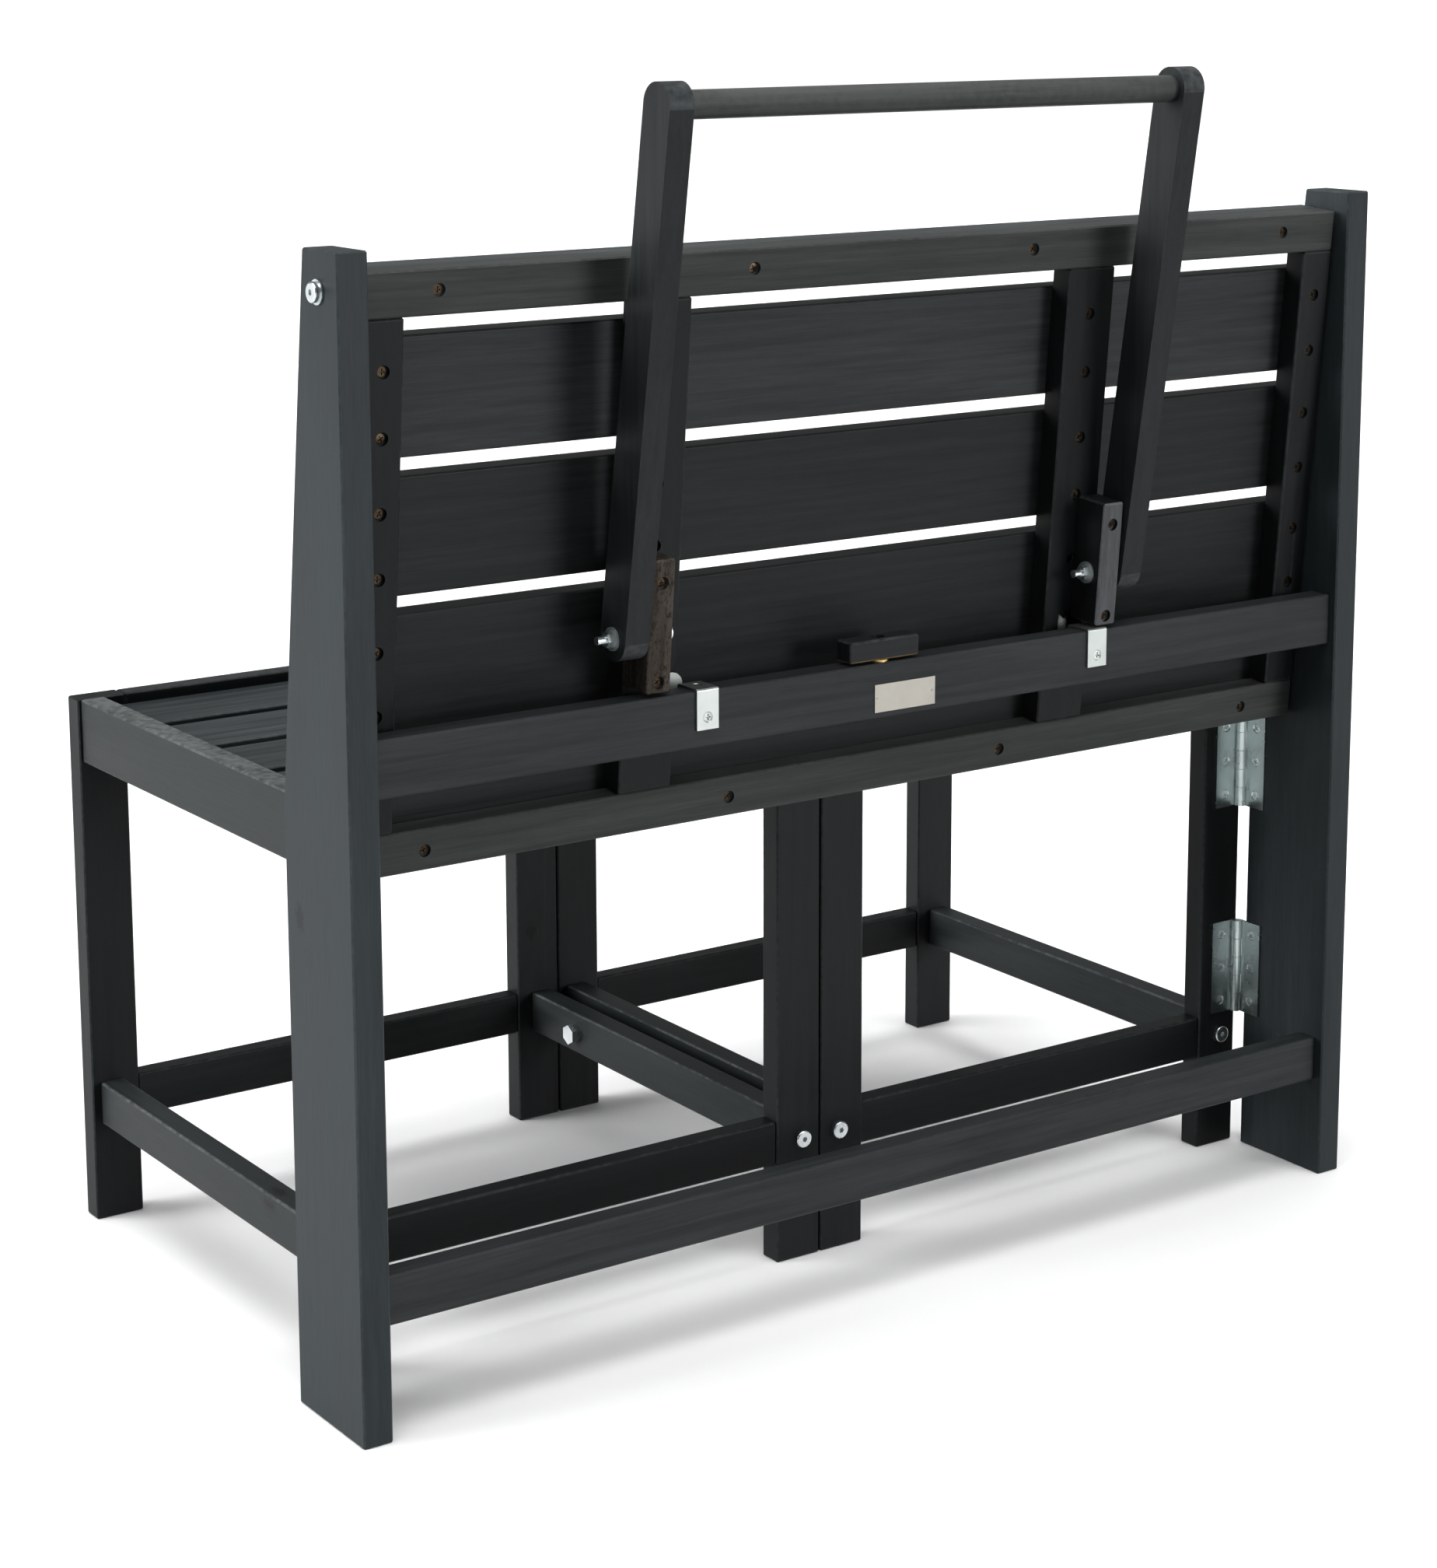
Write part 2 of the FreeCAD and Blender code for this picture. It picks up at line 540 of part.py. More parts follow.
def frame_pieces():
    """The back frame: posts, rails, hooks, turn button, plate and the posts' hinge leaves."""
    leaves, leaf_screws, leaf_holes = post_leaves()
    post = left_post(leaf_holes)
    dowels = rail_dowels(0)
    dowel_holes = rail_dowels(GLUE_GAP)
    dowel_holes += mirrored(dowel_holes)
    places = hook_screw_places()
    hook_screws = [screw(p, d, METAL_SCREW_LENGTH, turn=40 * i) for i, (p, d) in enumerate(places)]
    hook_holes = [screw(p, d, METAL_SCREW_LENGTH, play=GLUE_GAP) for p, d in places]
    button, washer, button_screw, button_pilot = button_pieces()
    plate, plate_pins, pin_holes = plate_pieces()
    x = (-POST_INNER, POST_INNER)
    mid_rail = board(x, (MID_RAIL_FRONT, MID_RAIL_REAR), (MID_RAIL_TOP - MID_RAIL_HEIGHT, MID_RAIL_TOP))
    bottom_y = (-BOTTOM_RAIL_INSET - BOTTOM_RAIL_THICKNESS, -BOTTOM_RAIL_INSET)
    bottom_rail = board(x, bottom_y, (BOTTOM_RAIL_TOP - BOTTOM_RAIL_HEIGHT, BOTTOM_RAIL_TOP))
    return {
        "post_left": [post],
        "post_right": mirrored([post]),
        "mid_rail": [drilled(mid_rail, dowel_holes + hook_holes + pin_holes + [button_pilot])],
        "bottom_rail": [drilled(bottom_rail, dowel_holes)],
        "rail_dowels": dowels + mirrored(dowels),
        "support_hooks": [drilled(hook(x), hook_holes) for x in HOOK_PLACES],
        "hook_screws": hook_screws,
        "blank_plate": [plate],
        "plate_pins": plate_pins,
        "post_hinge_leaves": leaves + mirrored(leaves),
        "post_hinge_screws": leaf_screws + mirrored(leaf_screws),
        "hinge_pins": hinge_pins() + mirrored(hinge_pins()),
        "turn_button": [button],
        "turn_button_washer": [washer],
        "turn_button_screw": [button_screw],
    }


def down_table(distance):
    """Local height of a place given as a distance down from the table top's upper edge."""
    return TABLE_PIVOT_DROP - distance


def wide_slat_top(index):
    """How far down the upper edge of a wide slat lies."""
    return FIRST_SLAT_WIDTH + TABLE_SLAT_GAP + index * (WIDE_SLAT + TABLE_SLAT_GAP)


def middle_batten_limits(side):
    """The x limits of the middle batten on the left (1) or the right (-1)."""
    outer = SUPPORT_SHIFT + side * BLOCKS_HALF_SPAN
    return tuple(sorted((outer, outer - side * MIDDLE_BATTEN_WIDTH)))


def block_limits(side):
    """The x limits of the pivot block on the left (1) or the right (-1)."""
    outer = SUPPORT_SHIFT + side * BLOCKS_HALF_SPAN
    return tuple(sorted((outer, outer - side * BLOCK_WIDTH)))


def batten_screw_places(x):
    """Screws that hold the wide slats to a batten, in the table top's own frame."""
    last = TABLE_LENGTH - TABLE_BOTTOM_RAIL_WIDTH
    places = []
    for i in range(WIDE_SLATS):
        middle = wide_slat_top(i) + WIDE_SLAT / 2
        for down in (middle - SLAT_SCREW_SPREAD, middle + SLAT_SCREW_SPREAD):
            if down + SCREW_HEAD_RADIUS < last:
                places.append(Vector(x, TABLE_REAR, down_table(down)))
    return places


def hook_room():
    """Room for the hooks in the middle battens, in the bench's frame."""
    tip_y = CRADLE_Y - CRADLE_RADIUS - STRAP - HOOK_FRONT_PLAY
    low = CRADLE_Z - CRADLE_RADIUS - STRAP - HOOK_TIP_PLAY
    high = MID_RAIL_TOP + HOOK_TIP_RISE + HOOK_TIP_PLAY
    half = HOOK_WIDTH / 2 + HOOK_SIDE_PLAY
    return [block((x - half, x + half), (tip_y, MID_RAIL_FRONT), (low, high)) for x in HOOK_PLACES]


def table_pieces():
    """The table top: rails, battens, slats, pivot blocks, screws and pivot bolts."""
    outward = Vector(0, 1, 0)
    full = (-TABLE_HALF, TABLE_HALF)
    thick = (SLAT_REAR, TABLE_REAR)
    last = TABLE_LENGTH - TABLE_BOTTOM_RAIL_WIDTH
    between = (down_table(last), down_table(TOP_RAIL_WIDTH))
    end = (TABLE_HALF - END_BATTEN_WIDTH, TABLE_HALF)
    battens = {
        "table_end_battens": [end, (-end[1], -end[0])],
        "table_batten_left": [middle_batten_limits(1)],
        "table_batten_right": [middle_batten_limits(-1)],
    }
    slat_places = []
    for limits in battens.values():
        for low, high in limits:
            slat_places += batten_screw_places((low + high) / 2)
    rail_places = []
    outermost = TABLE_HALF - RAIL_SCREW_FROM_END
    for i in range(RAIL_SCREWS):
        x = outermost * (2 * i / (RAIL_SCREWS - 1) - 1)
        rail_places.append(Vector(x, TABLE_REAR, down_table(RAIL_SCREW_UP)))
        rail_places.append(Vector(x, TABLE_REAR, down_table(TABLE_LENGTH - RAIL_SCREW_UP)))
    block_places = []
    for side in (1, -1):
        middle = sum(block_limits(side)) / 2
        for z in (BLOCK_TOP - BLOCK_SCREW_TOP_IN, BLOCK_BOTTOM + BLOCK_SCREW_BOTTOM_IN):
            block_places.append(Vector(middle, TABLE_REAR + BLOCK_DEPTH, z))

    def table_screws(places, length, recess, play=0.0):
        return [screw(p, outward, length, recess, 29 * i, play) for i, p in enumerate(places)]

    slat_args = (slat_places, SLAT_SCREW_LENGTH, SLAT_SCREW_RECESS)
    rail_args = (rail_places, SLAT_SCREW_LENGTH, SLAT_SCREW_RECESS)
    block_args = (block_places, BLOCK_SCREW_LENGTH, BLOCK_SCREW_RECESS)
    slat_holes = table_screws(*slat_args, GLUE_GAP)
    rail_holes = table_screws(*rail_args, GLUE_GAP)
    block_holes = table_screws(*block_args, GLUE_GAP)
    bolts = []
    bolt_holes = []
    washers = []
    for side in (1, -1):
        away = Vector(side, 0, 0)
        face = side * HALF_WIDTH
        start = Vector(face + side * WASHER_THICKNESS, 0, 0)
        length = abs(start.x) - TABLE_HALF + BOLT_INTO_TABLE
        bolts.append(bolt(start, away, length))
        hole_start = Vector(side * (TABLE_HALF - BOLT_INTO_TABLE - GLUE_GAP), 0, 0)
        bolt_holes.append(rod(BOLT_RADIUS + GLUE_GAP, hole_start, away, BOLT_INTO_TABLE + 1))
        inner = BOLT_RADIUS + GLUE_GAP
        washers.append(ring(WASHER_RADIUS, inner, Vector(face + side * SLIP, 0, 0), away,
                            WASHER_THICKNESS - SLIP))
        washers.append(ring(WASHER_RADIUS, inner, Vector(side * TABLE_HALF, 0, 0), away,
                            TABLE_SIDE_GAP - SLIP))
    top_rail = board(full, thick, (down_table(TOP_RAIL_WIDTH), down_table(0)))
    bottom_rail = board(full, thick, (down_table(TABLE_LENGTH), down_table(last)))
    pieces = {
        "table_top_rail": [drilled(top_rail, rail_holes + bolt_holes)],
        "table_bottom_rail": [drilled(bottom_rail, rail_holes)],
    }
    all_holes = slat_holes + rail_holes + block_holes
    for name, limits in battens.items():
        pieces[name] = [drilled(board(x, thick, between), slat_holes + block_holes) for x in limits]
    slat_limits = [(0.0, FIRST_SLAT_WIDTH)]
    slat_limits += [(wide_slat_top(i), wide_slat_top(i) + WIDE_SLAT) for i in range(WIDE_SLATS)]
    for i, (upper, lower) in enumerate(slat_limits):
        slat = board(full, (TABLE_FRONT, SLAT_REAR), (down_table(lower), down_table(upper)))
        pieces["table_slat_%d" % (i + 1)] = [drilled(slat, all_holes + bolt_holes)]
    for side, name in ((1, "pivot_block_left"), (-1, "pivot_block_right")):
        depth = (TABLE_REAR, TABLE_REAR + BLOCK_DEPTH)
        body = board(block_limits(side), depth, (BLOCK_BOTTOM, BLOCK_TOP))
        bore_start = Vector(block_limits(side)[0] - 1, SUPPORT_LOCAL_Y, SUPPORT_LOCAL_Z)
        bore = rod(SUPPORT_BOLT_RADIUS + RUNNING_FIT, bore_start, Vector(1, 0, 0), BLOCK_WIDTH + 2)
        pieces[name] = [drilled(body, block_holes + [bore])]
    pieces["slat_screws"] = table_screws(*slat_args)
    pieces["rail_screws"] = table_screws(*rail_args)
    pieces["block_screws"] = table_screws(*block_args)
    pieces["table_pivot_bolts"] = bolts
    pieces["table_pivot_washers"] = washers
    done = {name: [on_table(s) for s in shapes] for name, shapes in pieces.items()}
    for name in ("table_batten_left", "table_batten_right"):
        done[name] = [drilled(s, hook_room()) for s in done[name]]
    return done


def arm(x):
    """A flat arm with rounded ends, from the pivot to the bar."""
    axis = Vector(1, 0, 0)
    half = ARM_DEPTH / 2
    foot = rod(half, Vector(x[0], 0, 0), axis, ARM_THICKNESS)
    head = rod(half, Vector(x[0], 0, ARM_REACH), axis, ARM_THICKNESS)
    shaft = block(x, (-half, half), (0, ARM_REACH))
    body = shaft.multiFuse([foot, head]).removeSplitter()
    bore = rod(SUPPORT_BOLT_RADIUS + RUNNING_FIT, Vector(x[0] - 1, 0, 0), axis, ARM_THICKNESS + 2)
    return body.cut(bore)


def support_pieces():
    """The support leg: two arms, the bar, and the bolts that carry it in the blocks."""
    axis = Vector(1, 0, 0)
    gap = BLOCKS_HALF_SPAN + ARM_BLOCK_GAP
    left = (SUPPORT_SHIFT + gap, SUPPORT_SHIFT + gap + ARM_THICKNESS)
    right = (SUPPORT_SHIFT - gap - ARM_THICKNESS, SUPPORT_SHIFT - gap)
    bar_start = Vector(right[1] - BAR_TENON, 0, ARM_REACH)
    bar_length = left[0] - right[1] + 2 * BAR_TENON
    bar = rod(BAR_RADIUS, bar_start, axis, bar_length)
    socket_start = bar_start - Vector(GLUE_GAP, 0, 0)
    socket = rod(BAR_RADIUS + GLUE_GAP, socket_start, axis, bar_length + 2 * GLUE_GAP)
    bolts = []
    washers = []
    nuts = []
    inner = SUPPORT_BOLT_RADIUS + GLUE_GAP
    joints = (
        (block_limits(1)[0] - SLIP, left[1]),
        (right[0], block_limits(-1)[1] + SLIP),
    )
    for low, high in joints:
        start = Vector(low - WASHER_THICKNESS, 0, 0)
        grip = high - low + 2 * WASHER_THICKNESS
        length = grip + NUT_HEIGHT + BOLT_END
        bolts.append(bolt(start, Vector(-1, 0, 0), length, SUPPORT_BOLT_RADIUS))
        washers.append(ring(WASHER_RADIUS, inner, start, axis, WASHER_THICKNESS))
        washers.append(ring(WASHER_RADIUS, inner, Vector(high, 0, 0), axis, WASHER_THICKNESS))
        nuts.append(nut(Vector(high + WASHER_THICKNESS, 0, 0), axis))
    pieces = {
        "support_arm_left": [arm(left).cut(socket)],
        "support_arm_right": [arm(right).cut(socket)],
        "support_bar": [bar],
        "support_bolts": bolts,
        "support_washers": washers,
        "support_nuts": nuts,
    }
    return {name: [on_support(s) for s in shapes] for name, shapes in pieces.items()}


def lock_bolt(x, y, z):
    """A hexagon bolt through an inner stretcher. Its head stands on the side inside the seat."""
    axis = Vector(1, 0, 0)
    head = hexagon(LOCK_HEAD_ACROSS, Vector(x[1], y, z), axis, LOCK_HEAD_HEIGHT)
    return head.fuse(rod(BOLT_RADIUS, Vector(x[0], y, z), axis, x[1] - x[0]))


def left_seat_pieces():
    """The left seat unit: legs, aprons, stretchers, slats, cleats, bolts and hinge leaves."""
    outer_leg = (SEAT_OUTER - LEG_WIDTH, SEAT_OUTER)
    inner_leg = (SEAT_INNER, SEAT_INNER + LEG_WIDTH)
    front_leg = (SEAT_FRONT, SEAT_FRONT + LEG_THICKNESS)
    rear_leg = (SEAT_REAR - LEG_THICKNESS, SEAT_REAR)
    between_x = (inner_leg[1], outer_leg[0])
    between_y = (front_leg[1], rear_leg[0])
    apron_z = (SEAT_HEIGHT - APRON_HEIGHT, SEAT_HEIGHT)
    stretcher_z = (STRETCHER_TOP - STRETCHER_HEIGHT, STRETCHER_TOP)
    leaves, leaf_screws, leaf_holes = seat_leaves()

    def across(thickness, leg):
        middle = sum(leg) / 2
        return (middle - thickness / 2, middle + thickness / 2)

    def along(inset, thickness):
        outer = (SEAT_OUTER - inset - thickness, SEAT_OUTER - inset)
        inner = (SEAT_INNER + inset, SEAT_INNER + inset + thickness)
        return outer, inner

    side_aprons = along(SIDE_APRON_INSET, SIDE_APRON_THICKNESS)
    side_stretchers = along(SIDE_STRETCHER_INSET, SIDE_STRETCHER_THICKNESS)
    bolts = []
    inserts = []
    holes = []
    end_holes = []
    levels = (
        (side_aprons, SEAT_HEIGHT - APRON_BOLT_DROP),
        (side_stretchers, sum(stretcher_z) / 2),
    )
    ends = ((SEAT_FRONT, Vector(0, -1, 0)), (SEAT_REAR, Vector(0, 1, 0)))
    inner = BOLT_RADIUS + GLUE_GAP
    for limits, z in levels:
        for x in limits:
            middle = sum(x) / 2
            for y, away in ends:
                start = Vector(middle, y, z)
                end = start - away * LEG_THICKNESS
                bolts.append(bolt(start, away, LEG_THICKNESS + INSERT_LENGTH))
                inserts.append(ring(INSERT_RADIUS, inner, end, away * -1, INSERT_LENGTH))
                holes.append(rod(inner, start, away * -1, LEG_THICKNESS + INSERT_LENGTH))
                end_holes.append(rod(INSERT_RADIUS + GLUE_GAP, end, away * -1, INSERT_LENGTH + GLUE_GAP))
    lock_x = side_stretchers[1]
    lock_place = (SEAT_FRONT + LOCK_FROM_FRONT, sum(stretcher_z) / 2)
    bolts.append(lock_bolt(lock_x, *lock_place))
    lock_start = Vector(lock_x[0] - 1, *lock_place)
    end_holes.append(rod(inner, lock_start, Vector(1, 0, 0), lock_x[1] - lock_x[0] + 2))
    legs = [board(x, y, (0, SEAT_HEIGHT)) for x in (outer_leg, inner_leg) for y in (front_leg, rear_leg)]
    cross_aprons = []
    cross_stretchers = []
    for leg in (front_leg, rear_leg):
        cross_aprons.append(board(between_x, across(CROSS_APRON_THICKNESS, leg), apron_z))
        cross_stretchers.append(board(between_x, across(CROSS_STRETCHER_THICKNESS, leg), stretcher_z))
    slat_top = SEAT_HEIGHT - SEAT_SLAT_DROP
    slat_z = (slat_top - SEAT_SLAT_THICKNESS, slat_top)
    slat_x = (side_aprons[1][1] + SEAT_SLAT_PLAY, side_aprons[0][0] - SEAT_SLAT_PLAY)
    slats = []
    for i in range(SEAT_SLATS):
        front = between_y[0] + SEAT_SLAT_PLAY + i * (SEAT_SLAT_WIDTH + SEAT_SLAT_GAP)
        slats.append(board(slat_x, (front, front + SEAT_SLAT_WIDTH), slat_z))
    cleat_z = (slat_z[0] - CLEAT_HEIGHT, slat_z[0])
    cleat_x = (
        (side_aprons[0][0] - CLEAT_WIDTH, side_aprons[0][0]),
        (side_aprons[1][1], side_aprons[1][1] + CLEAT_WIDTH),
    )
    return {
        "legs": [drilled(s, holes + leaf_holes) for s in legs],
        "cross_aprons": cross_aprons,
        "side_aprons": [drilled(board(x, between_y, apron_z), end_holes) for x in side_aprons],
        "cross_stretchers": cross_stretchers,
        "side_stretchers": [drilled(board(x, between_y, stretcher_z), end_holes) for x in side_stretchers],
        "slats": slats,
        "slat_cleats": [board(x, between_y, cleat_z) for x in cleat_x],
        "bolts": bolts,
        "bolt_nuts": inserts,
        "hinge_leaves": leaves,
        "hinge_screws": leaf_screws,
    }


def export(name, shapes):
    """Write one piece, or a group of like pieces, at its place in the bench."""
    solids = [solid for shape in shapes for solid in shape.Solids]
    whole = solids[0].copy() if len(solids) == 1 else Part.makeCompound(solids)
    whole.translate(Vector(0, BACK_SHIFT, 0))
    whole.exportStep("parts/%s.step" % name)
    valid = all(s.isValid() for s in solids)
    print("%-24s solids %3d  volume %10.0f  valid %s" % (name, len(solids), whole.Volume, valid))


def main():
    """Build and write every piece."""
    os.makedirs("parts", exist_ok=True)
    pieces = {}
    pieces.update(frame_pieces())
    pieces.update(table_pieces())
    pieces.update(support_pieces())
    for name, shapes in left_seat_pieces().items():
        pieces["seat_left_" + name] = shapes
        pieces["seat_right_" + name] = mirrored(shapes)
    for name, shapes in pieces.items():
        export(name, shapes)
    print("nodes", len(pieces))
    for label, place in (
        ("table pivot", TABLE_PIVOT),
        ("support pivot", SUPPORT_PIVOT),
        ("bar centre", BAR_CENTRE),
        ("hinge pin", Vector(PIN_X, PIN_Y, 0)),
    ):
        print("%-14s x %8.2f  y %8.2f  z %8.2f" % (label, place.x, place.y + BACK_SHIFT, place.z))


main()
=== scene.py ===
"""The looks of a convertible picnic table bench.

Stained boards, zinc and brass fittings, and the studio around them.
"""

import logging
import math
from dataclasses import dataclass, field, replace
from enum import Enum

import bpy
from mathutils import Euler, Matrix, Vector


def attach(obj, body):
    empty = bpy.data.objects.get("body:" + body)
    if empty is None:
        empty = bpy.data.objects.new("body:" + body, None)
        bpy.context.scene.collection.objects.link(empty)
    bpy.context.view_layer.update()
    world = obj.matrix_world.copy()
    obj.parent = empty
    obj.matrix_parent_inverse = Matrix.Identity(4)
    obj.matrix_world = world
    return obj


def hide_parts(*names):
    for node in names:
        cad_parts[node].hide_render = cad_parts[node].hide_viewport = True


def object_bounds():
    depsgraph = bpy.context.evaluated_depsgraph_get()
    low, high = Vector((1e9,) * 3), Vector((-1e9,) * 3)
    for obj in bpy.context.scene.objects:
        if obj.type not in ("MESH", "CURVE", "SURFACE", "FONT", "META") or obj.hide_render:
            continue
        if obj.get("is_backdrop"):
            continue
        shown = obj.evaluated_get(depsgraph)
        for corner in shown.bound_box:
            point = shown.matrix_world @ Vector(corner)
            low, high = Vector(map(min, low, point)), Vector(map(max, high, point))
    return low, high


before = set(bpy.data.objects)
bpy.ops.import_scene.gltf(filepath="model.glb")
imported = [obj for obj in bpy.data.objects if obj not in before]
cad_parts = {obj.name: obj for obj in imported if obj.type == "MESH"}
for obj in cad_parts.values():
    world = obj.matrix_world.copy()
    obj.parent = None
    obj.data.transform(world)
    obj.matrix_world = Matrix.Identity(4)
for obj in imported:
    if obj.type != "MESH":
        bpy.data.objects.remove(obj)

Colour = tuple[float, float, float]
Socket = bpy.types.NodeSocket

MM = 0.001
LOG = logging.getLogger("picnic_bench")
EVENLY = (1.0, 1.0, 1.0)

# Places of a Mix node's colour sockets
FIRST_COLOUR, SECOND_COLOUR, MIXED_COLOUR = 6, 7, 2

# How far a board's own number, from 0 to 1, moves its pattern, and how those numbers are spread
BOARD_STRIDE = (3.7, 5.3, 4.1)
FLAT_STRIDE = 3.1
NAME_STEP = 0.137
BOARD_STEP = 0.618034


class Grain(Enum):
    """The way a board's fibres run."""

    ACROSS = 0
    ALONG = 1
    UPRIGHT = 2

    def spread(self, squeeze: float) -> tuple[float, float, float]:
        """Pattern scale on each axis, squeezed along the fibres.

        Args:
            squeeze: scale along the fibres, where 1 is the scale across them.

        Returns:
            The scale on X, Y and Z.
        """
        return tuple(squeeze if axis == self.value else 1.0 for axis in range(3))

    def unit(self) -> Vector:
        """The direction of the fibres."""
        return Vector([float(axis == self.value) for axis in range(3)])


class Side(Enum):
    """One of the two seats."""

    LEFT = "left"
    RIGHT = "right"


class Shading:
    """Lays out the nodes of one procedural material."""

    def __init__(self, name: str) -> None:
        """Start a material.

        Args:
            name: the material's name.
        """
        self.material = bpy.data.materials.new(name)
        self.material.use_nodes = True
        self.tree = self.material.node_tree
        self.surface = self.tree.nodes["Principled BSDF"]

    def add(self, kind: str, **settings: object) -> bpy.types.Node:
        """Add a node and set its own options.

        Args:
            kind: the node's type, without its "ShaderNode" start.
            settings: option names and their values.

        Returns:
            The new node.
        """
        node = self.tree.nodes.new("ShaderNode" + kind)
        for option, value in settings.items():
            setattr(node, option, value)
        return node

    def feed(self, target: Socket, value: object) -> None:
        """Link a socket to an input, or set the input to a plain value.

        Args:
            target: the input.
            value: an output socket, a number, or a colour.
        """
        if isinstance(value, Socket):
            self.tree.links.new(value, target)
        elif isinstance(value, tuple) and target.type == "RGBA":
            target.default_value = (*value, 1.0)
        else:
            target.default_value = value

    def place(self, spread: tuple[float, float, float], nudge: Socket | None = None) -> Socket:
        """Coordinates of the piece, stretched, and moved by a board's own number.

        Args:
            spread: scale on each axis.
            nudge: a number that moves the pattern, or None.

        Returns:
            The coordinates.
        """
        where = self.add("TexCoord").outputs["Object"]
        mapping = self.add("Mapping")
        self.feed(mapping.inputs["Scale"], spread)
        self.feed(mapping.inputs["Vector"], where)
        if nudge is None:
            return mapping.outputs["Vector"]
        shift = self.add("VectorMath", operation="MULTIPLY_ADD")
        self.feed(shift.inputs[0], nudge)
        self.feed(shift.inputs[1], BOARD_STRIDE)
        self.feed(shift.inputs[2], mapping.outputs["Vector"])
        return shift.outputs["Vector"]

    def unroll(self, grain: Grain, squeeze: float, nudge: Socket) -> Socket:
        """Coordinates along and across a board, the same through its thickness.

        Args:
            grain: the way the fibres run.
            squeeze: scale along the fibres.
            nudge: a number that moves the pattern.

        Returns:
            The coordinates.
        """
        where = self.add("TexCoord").outputs["Object"]
        flat = self.add("CombineXYZ")
        across = Vector(EVENLY) - grain.unit()
        for slot, way in (("X", grain.unit() * squeeze), ("Y", across)):
            reach = self.add("VectorMath", operation="DOT_PRODUCT")
            self.feed(reach.inputs[0], where)
            self.feed(reach.inputs[1], tuple(way))
            shift = self.maths("MULTIPLY", nudge, FLAT_STRIDE)
            self.feed(flat.inputs[slot], self.maths("ADD", reach.outputs["Value"], shift))
        return flat.outputs["Vector"]

    def noise(self, where: Socket, scale: float, detail: float = 3.0, distortion: float = 0.0) -> Socket:
        """Cloudy noise between 0 and 1.

        Args:
            where: the coordinates.
            scale: clouds in a metre.
            detail: how many finer layers it has.
            distortion: how much it swirls.

        Returns:
            The noise.
        """
        cloud = self.add("TexNoise")
        self.feed(cloud.inputs["Vector"], where)
        self.feed(cloud.inputs["Scale"], scale)
        self.feed(cloud.inputs["Detail"], detail)
        self.feed(cloud.inputs["Distortion"], distortion)
        return cloud.outputs["Fac"]

    def between(self, value: Socket, low: float, high: float, start: float, end: float) -> Socket:
        """Carry a value from one range to another, and hold it there.

        Args:
            value: the value.
            low: where the first range starts.
            high: where the first range ends.
            start: what low becomes.
            end: what high becomes.

        Returns:
            The new value.
        """
        ramp = self.add("MapRange", clamp=True)
        self.feed(ramp.inputs["Value"], value)
        for name, number in zip(("From Min", "From Max", "To Min", "To Max"), (low, high, start, end)):
            self.feed(ramp.inputs[name], number)
        return ramp.outputs["Result"]

    def maths(self, operation: str, first: object, second: object) -> Socket:
        """One sum on two values.

        Args:
            operation: the node's operation.
            first: a socket or number.
            second: a socket or number.

        Returns:
            The result.
        """
        node = self.add("Math", operation=operation)
        self.feed(node.inputs[0], first)
        self.feed(node.inputs[1], second)
        return node.outputs["Value"]

    def blend(self, share: object, first: object, second: object, mode: str = "MIX") -> Socket:
        """Mix two colours.

        Args:
            share: how much of the second colour shows.
            first: a socket or colour.
            second: a socket or colour.
            mode: how the second colour lies on the first.

        Returns:
            The mixed colour.
        """
        mix = self.add("Mix", data_type="RGBA", blend_type=mode)
        self.feed(mix.inputs["Factor"], share)
        self.feed(mix.inputs[FIRST_COLOUR], first)
        self.feed(mix.inputs[SECOND_COLOUR], second)
        return mix.outputs[MIXED_COLOUR]

    def mark(self, name: str) -> Socket:
        """A number that the mesh carries for each face."""
        return self.add("Attribute", attribute_name=name).outputs["Fac"]

    def relief(self, height: Socket, depth: float, strength: float, under: Socket | None = None) -> Socket:
        """Bend the surface's normal by a height.

        Args:
            height: the height, between 0 and 1.
            depth: its full depth in metres.
            strength: how much of it shows.
            under: a relief that it lies on, or None.

        Returns:
            The new normal.
        """
        bump = self.add("Bump")
        self.feed(bump.inputs["Strength"], strength)
        self.feed(bump.inputs["Distance"], depth)
        self.feed(bump.inputs["Height"], height)
        if under is not None:
            self.feed(bump.inputs["Normal"], under)
        return bump.outputs["Normal"]

    def wear(self, colour: Socket | Colour, roughness: Socket | float, normal: Socket) -> bpy.types.Material:
        """Give the surface its colour, roughness and normal.

        Args:
            colour: its colour.
            roughness: its roughness.
            normal: its normal.

        Returns:
            The finished material.
        """
        self.feed(self.surface.inputs["Base Color"], colour)
        self.feed(self.surface.inputs["Roughness"], roughness)
        self.feed(self.surface.inputs["Normal"], normal)
        return self.material


@dataclass(frozen=True)
class Knots:
    """A board's knots: how dark, how many, how large, and how far fibres swing round them."""

    share: float = 0.75
    cells: float = 5.5
    squeeze: float = 0.5
    empty_cells: float = 0.58
    dark: float = 0.3
    heart: tuple[float, float] = (12.0 * MM, 35.0 * MM)
    reach: tuple[float, float] = (20.0 * MM, 160.0 * MM)
    ragged: float = 12.0 * MM
    ragged_grain: float = 260.0
    swing: float = 12.0 * MM


